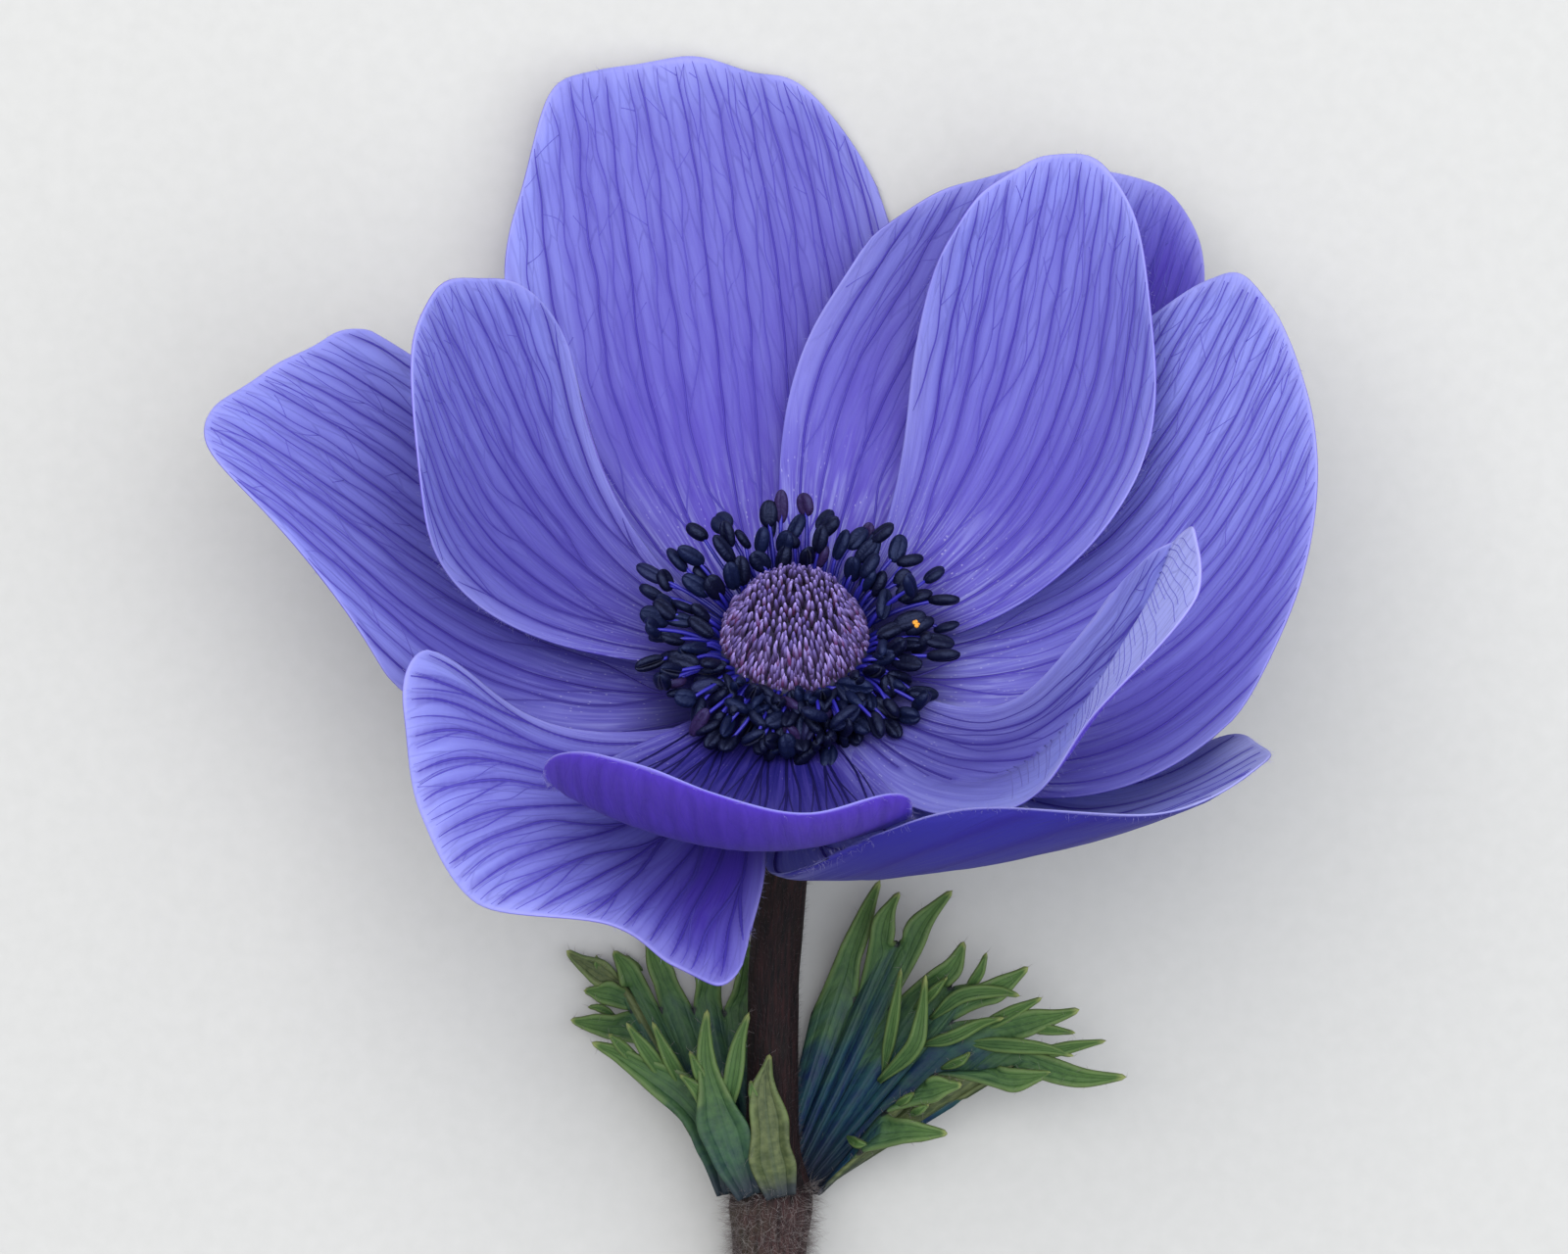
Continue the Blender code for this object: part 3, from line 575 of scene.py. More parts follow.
# the collar's near-black blue is partly painted shade under the crowd of stamens
COLLAR_SKIN = plain_skin("stamen_collar", (0.001, 0.001, 0.012), (0.004, 0.004, 0.050), 1800)
POLLEN = plain_skin("pollen_grain", (0.72, 0.25, 0.02), (0.90, 0.42, 0.04), 6000)
WHITE_HAIR = hair_skin("white_hair", (0.13, 0.10, 0.10), (0.40, 0.37, 0.36))
VELVET_HAIR = hair_skin("velvet_hair", (0.040, 0.028, 0.034), (0.120, 0.098, 0.104))
PETAL_HAIR = hair_skin("petal_hair", (0.26, 0.23, 0.62), (0.55, 0.54, 0.78))


# Petals

def ease(values, at):
    """A smooth curve through values spread evenly over 0 to 1."""
    values = np.asarray(values, float)
    count = len(values) - 1
    x = np.clip(at, 0, 1) * count
    i = np.minimum(x.astype(int), count - 1)
    f = x - i
    run = np.concatenate([[2 * values[0] - values[1]], values, [2 * values[-1] - values[-2]]])
    a, b, c, d = run[i], run[i + 1], run[i + 2], run[i + 3]
    return 0.5 * (2 * b + (c - a) * f + (2 * a - 5 * b + 4 * c - d) * f**2 + (3 * b - a - 3 * c + d) * f**3)


def half_widths(p, share, ccw):
    """Half width on either side, trimmed or widened along the blade."""
    rise = np.sin(0.5 * math.pi * np.clip(share / p["belly"], 0, 1)) ** 0.95
    fall = 0.12 * np.clip((share - p["belly"]) / (1 - p["belly"]), 0, 1) ** 2
    return np.where(ccw, *((CLAW_HALF_WIDTH + (widest - CLAW_HALF_WIDTH) * rise - widest * fall)
                           * ease(p.get(trim, (1, 1)), share)
                           for widest, trim in zip(p["widths"], ("trim_ccw", "trim_cw"))))


def petal_surface(p, share, side, steps=400):
    """Middle surface of a petal: share of its length and place across it, -1 to 1."""
    table = np.linspace(0, 1.05, steps + 1)
    lift = np.radians(ease(p["lift"], table))[:, None]
    turn = np.radians(p["azimuth"] + ease(p.get("sway", (0, 0)), table))[:, None]
    outward = np.cos(turn) * RIGHT + np.sin(turn) * BACK
    direction = np.cos(lift) * outward + np.sin(lift) * AXIS
    piece = 0.5 * (direction[1:] + direction[:-1]) * p["length"] * 1.05 / steps
    line = np.concatenate([[np.zeros(3)], np.cumsum(piece, 0)])
    line = HEAD + CLAW_START * outward[0] + p["seat"] * AXIS + line

    def at(rows):
        return spread(*(np.interp(share, table, column) for column in rows.T))

    along = unit(at(direction))
    across = unit(np.cross(AXIS, along))
    up = np.cross(along, across)
    roll = np.radians(ease(p.get("roll", (0, 0)), share))[..., None]
    across, up = np.cos(roll) * across + np.sin(roll) * up, np.cos(roll) * up - np.sin(roll) * across
    ccw = side >= 0
    wide = half_widths(p, share, ccw)
    cup = np.radians(np.where(ccw, ease(p["cup_ccw"], share), ease(p["cup_cw"], share)))
    curl = np.where(ccw, *p.get("curl", (1, 1)))
    flat, raised = np.zeros_like(side), np.zeros_like(side)
    for knot, weight in zip(ARC_NODES, ARC_WEIGHTS):
        angle = cup * np.abs(0.5 * (knot + 1) * side) ** curl
        flat += 0.5 * weight * np.cos(angle)
        raised += 0.5 * weight * np.sin(angle)
    points = at(line) + (flat * wide * side)[..., None] * across
    points = points + (raised * wide * np.abs(side))[..., None] * up
    return points, wide


def normals(points):
    """Unit normals of a grid of points, on the side of the flower's axis."""
    found = unit(np.cross(np.gradient(points, axis=1), np.gradient(points, axis=0)))
    return found if (found @ AXIS).sum() >= 0 else -found


def shell(points, thick):
    """Both faces of a blade and the strip round its edge, from the grid of its middle surface."""
    normal = normals(points)
    front, back = ((points + sign * thick[..., None] * normal).reshape(-1, 3) for sign in (0.5, -0.5))
    n = len(front)
    index = np.arange(n).reshape(thick.shape)
    quads = spread(index[:-1, :-1], index[1:, :-1], index[1:, 1:], index[:-1, 1:]).reshape(-1, 4)
    edge = np.concatenate([index[:, 0], index[-1, 1:], index[::-1, -1][1:], index[0, ::-1][1:-1]])
    after = np.roll(edge, -1)
    faces = np.concatenate([quads, quads[:, ::-1] + n, spread(edge, after, after + n, edge + n)])
    return np.concatenate([front, back]), faces.tolist(), normal


def crease_at(p, share):
    start, end = p["strip"]
    return start + (end - start) * share


def strands(p, seed):
    """The veins of a blade: paths of (across in mm, share of the length), half widths and rank.

    Main veins run from the base. Others leave a neighbour at an acute angle wherever the blade has
    widened enough, so that the spacing stays even. Near the rim short threads join them in loops."""
    rng = np.random.default_rng(seed)
    length, crowd, bold = p["length"], p.get("crowd", 0.0), p.get("bold", 0.0)
    share = np.linspace(0.03, 1.0, int(length / 0.35))
    fans = [half_widths(p, share, ccw) for ccw in (False, True)]
    fans = [(wide / wide.max()) ** VEIN_FAN for wide in fans]
    gap = VEIN_SPACING / 2 * (1 - 0.7 * crowd)
    count = 2 * int(1.25 * np.mean(p["widths"]) / gap) + 1
    level = np.full(count, 3)
    level[::2], level[::4], level[::8] = 2, 1, 0
    middle = (np.arange(count) - count // 2) * gap
    middle = middle + rng.normal(0, 0.10 * gap * (4 - level))
    fan = [fans[int(m >= 0)] for m in middle]
    birth = np.zeros(count)
    for j in range(count):
        if level[j] == 3:
            birth[j] = rng.uniform(0.45, 0.85)
            continue
        ready = fan[j] > VEIN_BIRTHS[level[j]] * (1 - crowd) * rng.uniform(0.85, 1.12)
        birth[j] = share[np.argmax(ready)] if ready.any() else 1.0
        birth[j] += (level[j] > 0) * rng.uniform(-0.03, 0.08)
    paths = {}
    for rank in range(4):
        for j in np.nonzero(level == rank)[0]:
            if rank == 3 and rng.uniform() < 0.50:
                continue
            phase, swing = rng.uniform(0, math.tau, 2), 0.045 + 0.025 * rank
            wiggle = np.sin(length * share / 1.9 + phase[0]) + 0.6 * np.sin(length * share / 0.8 + phase[1])
            own = middle[j] * fan[j] + swing * wiggle * (0.3 + 1.2 * share)
            if rank:
                step = 8 // 2**rank
                sides = [k for k in (j - step, j + step) if k in paths]
                if not sides:
                    continue
                parent = paths[sides[rng.integers(len(sides))]][0]
                joined = smooth_step(birth[j], birth[j] + rng.uniform(4.0, 7.5) / length, share) ** 0.8
                own = parent + (own - parent) * joined
            paths[j] = (own, birth[j], rank)
    drawn = []
    size = VEIN_HALF_WIDTHS * (1 + VEIN_BOLDNESS * bold)
    for own, born, rank in paths.values():
        keep = share >= born - 0.02
        s = share[keep]
        thin = 1 - 0.45 * s
        if rank:
            thin = thin * smooth_step(born - 0.03, born + 0.05, s) + 0.25
        drawn.append((own[keep], s, size[rank] * np.minimum(thin, 1.0), rank))
    # threads between neighbours, short and steep near the rim
    order = sorted(paths)
    for a, b in ((paths[left], paths[right]) for left, right in zip(order[:-1], order[1:])):
        at = max(a[1], b[1]) + 0.05
        while True:
            at += rng.uniform(2.0, 8.0) * (1.5 - 0.9 * at) / length * 1.4
            rise = rng.uniform(1.2, 3.0) * (1.4 - 0.7 * at) / length
            if at + rise > 0.98:
                break
            if rng.uniform() < 0.55 * bold:
                continue
            near, far = (a, b) if rng.uniform() < 0.5 else (b, a)
            t = np.linspace(0, 1, 8)
            s = at + rise * t
            x = (1 - t) * np.interp(s, share, near[0]) + t * np.interp(s, share, far[0])
            if rng.uniform() < 0.3:
                s, x, t = s[t < 0.7], x[t < 0.7], t[t < 0.7]
            x = x + 0.10 * np.sin(math.pi * t) * rng.normal()
            drawn.append((x, s, 0.052 * (1 - 0.3 * t), THREAD))
    if "lean" in p:
        for k, (x, s, half, rank) in enumerate(drawn):
            wide = half_widths(p, s, x >= 0)
            side = np.clip(x / wide, -1, 1)
            drawn[k] = (x + p["lean"] * (1 - side**2) * s * wide, s, half, rank)
    if "strip" not in p:
        return drawn
    # on a folded margin the veins leave the crease and run out to the edge
    kept = []
    for x, s, half, rank in drawn:
        ok = x > crease_at(p, s) * half_widths(p, s, crease_at(p, s) >= 0) + 0.15
        if ok.sum() > 4:
            first = np.argmax(ok)
            last = first + (np.argmin(ok[first:]) if not ok[first:].all() else len(ok) - first)
            kept.append((x[first:last], s[first:last], half[first:last], rank))
    t = np.linspace(0, 1, 22)
    at = 0.40
    while at < 0.98:
        at += rng.uniform(0.4, 0.8) / length
        s = at + (0.05 + 0.02 * rng.uniform()) * t ** 0.8
        fold = crease_at(p, s) + 0.02
        side = fold + (-0.95 - fold) * t
        x = side * half_widths(p, s, side >= 0) + 0.08 * np.sin(4 * t + 30 * at)
        cut = int(len(t) * rng.choice([0.5, 0.75, 0.95]))
        half = rng.uniform(0.06, 0.09) * (1 - 0.5 * t)
        kept.append((x[:cut], s[:cut], half[:cut], CREASE_VEIN))
    return kept


def vein_ribs(name, drawn, p, columns_w, reach, front, normal, mood, seed):
    """Low ribs with three sides along the drawn veins, laid on the inner face of the blade."""
    rng = np.random.default_rng(seed)
    length = p["length"]
    rows, cols = front.shape[:2]

    def grid(data, r, c):
        r0, c0 = np.clip(r.astype(int), 0, rows - 2), np.clip(c.astype(int), 0, cols - 2)
        fr, fc = (r - r0)[:, None], (c - c0)[:, None]
        return ((1 - fr) * ((1 - fc) * data[r0, c0] + fc * data[r0, c0 + 1])
                + fr * ((1 - fc) * data[r0 + 1, c0] + fc * data[r0 + 1, c0 + 1]))

    def place(across, share, lift):
        """Points at a height over the blade, and their distance to the margin or the rim."""
        wide = half_widths(p, share, across >= 0)
        w = np.arcsin(np.clip(across / wide, -0.999, 0.999)) * 2 / math.pi
        c = np.interp(w, columns_w, np.arange(cols))
        r = share / np.interp(w, columns_w, reach) * (rows - 1)
        room = np.minimum(wide - np.abs(across), (rows - 1 - r) / (rows - 1) * length)
        r = np.minimum(r, rows - 1.001)
        return grid(front, r, c) + np.reshape(lift, (-1, 1)) * grid(normal, r, c), room

    points, faces, tone, start = [], [], [], 0
    for across, share, half, rank in drawn:
        if len(share) < 3:
            continue
        slope = np.gradient(across) / np.maximum(np.gradient(share) * length, 1e-6)
        lean = 1 / np.sqrt(1 + slope**2)
        room = place(across, share, 0.0)[1]
        on = room > 0.30
        ends = np.zeros(len(on))
        edges = np.nonzero(np.diff(np.concatenate([[0], on.astype(int), [0]])))[0]
        for a, z in zip(edges[::2], edges[1::2]):
            after = np.arange(z - a)[::-1]
            # a vein thins out where it meets the margin, and scraps beside the margin are left out
            if z - a < 5 or room[a:z].mean() < 0.75:
                on[a:z] = False
            elif z < len(on):
                ends[a:z] = np.maximum(0, 1 - after / 4.0)
            if a > 0:
                ends[a:z] = np.maximum(ends[a:z], 1 - np.minimum(after, after[::-1]) / 4.0)
        half = half * (1 - 0.7 * ends)
        aside, ahead = half * lean, half * lean * slope / length
        sides = np.stack([place(across + aside, share - ahead, -0.03)[0],
                          place(across, share, 0.036 + 0.12 * half)[0],
                          place(across - aside, share + ahead, -0.03)[0]], 1)
        for run in np.split(np.arange(len(on)), np.nonzero(np.diff(on.astype(int)))[0] + 1):
            if on[run[0]] and len(run) > 2:
                points.append(sides[run].reshape(-1, 3))
                tone.append(np.repeat(spread(rank, share[run], rng.uniform()), 3, axis=0))
                faces += tube_faces([start], len(run), 3)
                start += 3 * len(run)
    values = {"tone": np.concatenate(tone), "mood": np.tile(mood, (start, 1))}
    make(name + "_veins", np.concatenate(points), faces, VEIN_SKIN, None, values, recalc=False)


def petal(name, p, index):
    length, shaded_underside = p["length"], p.get("shaded_underside", 0.0)
    u, even = np.meshgrid(np.linspace(0, 1, PETAL_ROWS + 1), np.linspace(-1, 1, PETAL_COLUMNS + 1),
                          indexing="ij")
    w = 0.45 * even + 0.55 * np.arcsin(even) * 2 / math.pi
    side, reach = np.sin(0.5 * math.pi * w), ease(p["rim"], (w + 1) / 2)
    rough = 1 + 0.006 * waves(int(p["azimuth"]) + 900, w * 16, w * 3) * np.clip(u * 3 - 2, 0, 1)
    share = u * reach * rough
    points, wide = petal_surface(p, share, side)
    drawn = strands(p, 400 + index)
    # distance to the margin or the rim, whichever is nearer
    edge = np.maximum(np.minimum((1 - np.abs(side)) * wide, (reach - share) * length), 0)
    seed, free = 31 * index + 7, smooth_step(0.15, 0.6, share)
    relief = p["ruffle"] * np.exp(-edge / 3.2) * waves(seed, side * 6.0, share * 11.0) * free
    relief += 0.16 * waves(seed + 1, side * 3.5, share * 6.0) * free
    # a margin folded up along a crease
    folded = np.zeros_like(share)
    if "strip" in p:
        past = crease_at(p, share) - side
        on = smooth_step(0.22, 0.42, share)
        folded = smooth_step(-0.05, 0.07, past) * on
        relief -= 0.38 * np.exp(-(past / 0.11) ** 2) * on
    # how close each point is to a vein, main veins count most
    veins = [path for path in drawn if path[3] < THREAD]
    tree = KDTree(sum(len(path[0]) for path in veins))
    weight = []
    for across, s, half, _ in veins:
        for x, y, h in zip(across, s * length, half):
            tree.insert((x, y, 0.0), len(weight))
            weight.append(min(1.0, h / 0.14) ** 1.6)
    tree.balance()
    furrow = [max(weight[which] * math.exp(-(far / 0.40) ** 2)
             for _, which, far in tree.find_n((x, y, 0.0), 8))
              for x, y in zip((side * wide).flat, (share * length).flat)]
    furrow = np.reshape(furrow, share.shape) * smooth_step(0.0, 1.0, edge)
    points = points + (relief - 0.07 * furrow)[..., None] * normals(points)
    points[..., 2] = np.maximum(points[..., 2], FLOOR_GRIP)
    thick = PETAL_THICKNESS * (0.42 + 0.58 * smooth_step(0.0, 1.6, edge))
    verts, faces, final = shell(points, thick * (1 + 0.5 * smooth_step(0.25, 0.0, share)))
    verts[:, 2] = np.maximum(verts[:, 2], 0.0)

    # painted shade darkens one side of some blades; painted light pales one side of the back blade and a
    # folded margin
    deep = p.get("deep", 0.0)
    painted_light_fold = folded * smooth_step(0.40, 0.72, share)
    tint = p["tint"] + 0.85 * painted_light_fold - abs(deep) * smooth_step(0.05, 0.75, side * np.sign(deep))
    tint = tint + p.get("painted_light_side", 0.0) * smooth_step(0.45, 1.0, side)
    indigo = p["indigo"] * (1 - painted_light_fold) * (0.30 + 0.70 * smooth_step(0.0, 4.5, edge))
    fan = VEIN_SPACING * (wide / wide.max()) ** VEIN_FAN
    n = share.size

    def both(*parts):
        """The same three values on both faces of the blade."""
        return np.tile(spread(*parts).reshape(n, 3), (2, 1))

    values = {"vein_at": both(side * wide / fan + 41.0 * index,
                              length / 11 * (share + 0.3 * share**4) + 13.0 * index, furrow),
              "vein_scale": both(1 / fan, (1 + 1.2 * share**3) / 11, 1.0),
              "where": both(side, share, edge), "mood": both(tint, indigo, shaded_underside)}
    values["vein_scale"][n:, 2] = 0.0
    make(name + "_blade", verts, faces, PETAL_SKIN, name, values)
    vein_ribs(name, drawn, p, w[0], reach[0], verts[:n].reshape(points.shape), final,
              (p["tint"], p["indigo"], shaded_underside), 700 + index)
    # fine hairs on the outer face, close to the margin
    rng = np.random.default_rng(500 + index)
    near_rim = np.nonzero(((edge < 0.45) & (share > 0.35)).ravel())[0]
    chosen = rng.choice(near_rim, 220 + int(260 * shaded_underside))
    away, aside = (unit(np.gradient(points, axis=axis)) for axis in (0, 1))
    ways = (0.7 * away + 0.8 * np.sign(side)[..., None] * aside - 0.6 * final).reshape(-1, 3)[chosen]
    ways = ways + 0.35 * rng.normal(size=(len(chosen), 3))
    hairs(name + "_hairs", verts[n:][chosen], ways, rng.uniform(0.25, 0.65, len(chosen)), 0.008, PETAL_HAIR,
          0.3, 600 + index)


# Head of the flower
DOME_CENTRE, DOME_RADIUS, STYLES = 2.9, 4.85, 760
GOLDEN = math.pi * (3 - math.sqrt(5))
COLLAR_PROFILE = ((2.6, 3.2), (4.5, 3.0), (5.2, 3.2), (5.45, 3.6), (5.2, 3.95), (4.9, 4.2), (4.7, 4.25),
                  (2.6, 4.2))
# crowds of stamens from the dome outwards: how many, length and rise in front, length and rise behind
STAMEN_RINGS = ((38, 1.1, 12, 1.9, 72), (44, 2.0, -8, 3.0, 58), (42, 3.0, -13, 3.8, 49),
                (46, 4.1, -12, 4.5, 41))
STAMENS = sum(crowd[0] for crowd in STAMEN_RINGS)
POLLEN_PLACE, POLLEN_GRAINS = np.array([8.1, 4.5]), 7


def on_head(radius, angle, height):
    """Points about the head's axis. The values may be columns."""
    return HEAD + radius * np.cos(angle) * RIGHT + radius * np.sin(angle) * BACK + height * AXIS


def lathe(name, profile, material, replaced, sides=64):
    """A closed surface of revolution about the head's axis."""
    points = np.concatenate([on_head(r, turns(sides)[:, None], h) for r, h in profile])
    make(name, points, tube_faces([0], len(profile), sides), material, replaced)


def pistil_head():
    rng, column = np.random.default_rng(5), (STYLES, 1)
    low = math.asin(0.6 / DOME_RADIUS)
    arc = np.linspace(low, math.radians(88), 26)
    lathe("pistil_core", [(DOME_RADIUS * math.cos(a), DOME_CENTRE + DOME_RADIUS * math.sin(a)) for a in arc],
          DOME_CORE, "pistil_head")
    k = np.arange(STYLES)[:, None]
    share = (k + 0.5) / STYLES
    height = math.sin(low) + (0.999 - math.sin(low)) * share
    polar = np.arcsin(height) + rng.normal(0, 0.012, column)
    angle = k * GOLDEN + rng.normal(0, 0.02, column)
    radial = np.cos(angle) * RIGHT + np.sin(angle) * BACK
    out = np.cos(polar) * radial + np.sin(polar) * AXIS
    upward = unit(np.cos(polar) * AXIS - np.sin(polar) * radial)
    # a style lies along its meridian, low on the sides and upright at the top
    lean = np.radians(9 + 66 * smooth_step(0.55, 1.0, height)) + rng.normal(0, 0.06, column)
    way = np.cos(lean) * upward + np.sin(lean) * out
    way = unit(way + rng.normal(0, 0.10, column) * np.cross(out, upward))
    long = 1.42 + rng.normal(0, 0.13, column)
    foot = HEAD + DOME_CENTRE * AXIS + (DOME_RADIUS - 0.05 + rng.normal(0, 0.04, column)) * out \
        - 0.45 * long * np.cos(lean) * upward
    first = unit(np.cross(way, out))
    second = np.cross(first, way)
    stations, girths = (0.0, 0.2, 0.45, 0.72, 0.9, 1.0), (0.6, 0.95, 1.0, 0.88, 0.58, 0.12)
    rings = []
    for s, girth in zip(stations, girths):
        middle = foot + s * long * way + 0.16 * math.sin(math.pi * s) * out
        rings += ring(middle, 0.150 * girth, first, second, 6)
    grain = (np.repeat(stations, 6), rng.uniform(size=column), np.clip(1 - share * 2.6, 0, 1))
    bundle("pistil_styles", rings, 6, grain, STYLE_SKIN)


def stamens():
    rng, column = np.random.default_rng(11), (STAMENS, 1)
    lathe("stamen_collar", COLLAR_PROFILE, COLLAR_SKIN, "stamens")
    angle, rise, length = [], [], []
    for order, (count, long, low, long_behind, high) in enumerate(STAMEN_RINGS):
        turn = math.tau * (np.arange(count) + rng.uniform(-0.35, 0.35, count)) / count + order
        turn = turn - 0.60 * np.cos(turn)
        back = 0.5 + 0.5 * np.sin(turn)
        angle.append(turn)
        rise.append(np.radians(low + (high - low) * back + rng.normal(0, 8, count)))
        length.append((long + (long_behind - long) * back) * (1 + 0.18 * np.cos(turn) ** 2)
                      + rng.uniform(-0.6, 0.6, count) * min(1.0, long / 3))
    angle, rise, length = (np.concatenate(rows)[:, None] for rows in (angle, rise, length))
    # filaments: thin, a little bowed
    foot = on_head(4.75, angle, 3.6)
    head = on_head(4.9 + length * np.cos(rise), angle + rng.uniform(-0.06, 0.06, column),
                   3.9 + length * np.sin(rise))
    way = unit(head - foot)
    first = unit(np.cross(way, np.where(np.abs(way @ AXIS)[:, None] < 0.95, AXIS, RIGHT)))
    second = np.cross(way, first)
    bow = rng.normal(0, 0.25, column)
    stations, rings = np.linspace(0, 1, 8), []
    for s in stations:
        arch = math.sin(math.pi * s) * (bow * first + 0.35 * AXIS)
        rings += ring(foot + s * (head - foot) + arch, 0.17 - 0.05 * s, first, second, 6)
    bundle("stamen_filaments", rings, 6, (np.repeat(stations, 6), rng.uniform(size=column), length),
           FILAMENT_SKIN)
    # anthers: two lobes with a groove between them, the broad side towards the head's axis
    front = np.clip(-np.sin(angle), 0, 1)
    way = unit(way + (0.28 + 0.5 * front) * rng.normal(size=(STAMENS, 3)))
    spin = rng.uniform(-0.9, 0.9, column)
    spin = spin + np.where(np.sin(angle) > -0.2, 0.0, rng.uniform(-1.5, 1.5, column))
    toward = unit(AXIS - (way @ AXIS)[:, None] * way)
    across = np.cos(spin) * unit(np.cross(way, toward)) + np.sin(spin) * toward
    deep = np.cross(way, across)
    half_long, half_wide, half_deep = (size + rng.normal(0, vary, column)
                                       for size, vary in ((1.0, 0.12), (0.60, 0.06), (0.44, 0.05)))
    sides, rings, groove = 20, [], []
    for s in np.sin(0.5 * math.pi * np.linspace(-1, 1, 13)):
        r = math.sqrt(max(0.0, 1 - abs(s) ** 2.4)) + 0.02
        for c, d in ((math.cos(a), math.sin(a)) for a in turns(sides)):
            dent = math.exp(-(c / 0.26) ** 2)
            rings.append(head + ((s - 0.12 * dent * s ** 3) * half_long + 0.35) * way
                         + r * c * half_wide * across + r * d * (1 - 0.56 * dent) * half_deep * deep)
            groove.append(abs(c) if d > 0 else 1.0)
    bundle("stamen_anthers", rings, sides, (groove, rng.uniform(size=column), 0.0), ANTHER_SKIN)
    # a little pollen has stuck to the anther nearest its place
    anthers = np.stack(rings, 1)
    off = np.linalg.norm(anthers.mean(1)[:, :2] - (HEAD[:2] + POLLEN_PLACE), axis=1)
    marked = anthers[np.argmin(off)]
    top = marked[np.argmax(marked[:, 2])]
    ball = np.array([(math.cos(a) * math.cos(t), math.cos(a) * math.sin(t), math.sin(a))
                     for a in np.linspace(-1.35, 1.35, 6) for t in turns(8)])
    grains = []
    for _ in range(POLLEN_GRAINS):
        middle = top + rng.normal(0, 0.13, 3) * (1, 1, 0.3)
        grains.append(middle + rng.uniform(0.09, 0.17) * rng.uniform(0.9, 1.1, (len(ball), 1)) * ball)
    faces = tube_faces(len(ball) * np.arange(POLLEN_GRAINS), 6, 8)
    make("stamen_pollen", np.concatenate(grains), faces, POLLEN)


# Stem: height over the head's middle and radius inside the flower, then X, Y, height and radius
# of its middle line down to the cut
STEM_IN_HEAD = ((4.0, 1.9), (3.4, 2.2), (-2.9, 2.2), (-4.2, 1.85))
STEM_BELOW_HEAD = (
    (0.55, -8.3, 8.9, 1.8), (0.25, -12.5, 6.0, 1.75), (-0.15, -17.7, 4.9, 1.75), (-0.7, -24.0, 4.7, 1.75),
    (-0.75, -31.0, 4.5, 1.78), (-0.8, -36.8, 4.3, 1.9), (-0.8, -38.6, 4.25, 2.8), (-0.85, -40.2, 4.2, 3.05),
    (-0.9, -42.0, 4.15, 2.55), (-1.2, -55.0, 3.9, 2.3), (-1.8, -75.0, 3.3, 2.35), (-2.4, -93.0, 2.7, 2.4),
    (-2.9, -108.0, 2.38, 2.4))
LEAF_NODE, SCAPE_LENGTH = (-0.85, -39.4, 4.2), 68.6
STEM_SIDES = 56
STEM_CUT = ((0.93, 0.0), (0.9, -0.12), (0.5, -0.05), (0.15, -0.35))   # share of the radius, how far out


def stem_line():
    """Stations along the stem, its middle line, its radii and where the knots lie."""
    knots_at = [(*(HEAD + h * AXIS), r) for h, r in STEM_IN_HEAD]
    knots_at += [(*(SHIFT + p[:3]), p[3]) for p in STEM_BELOW_HEAD]
    table = np.array(knots_at)
    knots = np.concatenate([[0], np.cumsum(np.linalg.norm(np.diff(table[:, :3], axis=0), axis=1))])
    s = np.append(np.arange(0, knots[-1], 0.45), knots[-1])
    # straight between the knots, then rounded a little where it turns
    fine = spread(*(np.interp(s, knots, column) for column in table.T))
    for _ in range(3):
        fine[2:-2] = sum(weight / 9 * fine[k:len(s) - 4 + k] for k, weight in enumerate((1, 2, 3, 2, 1)))
    return s, fine[:, :3], fine[:, 3], knots


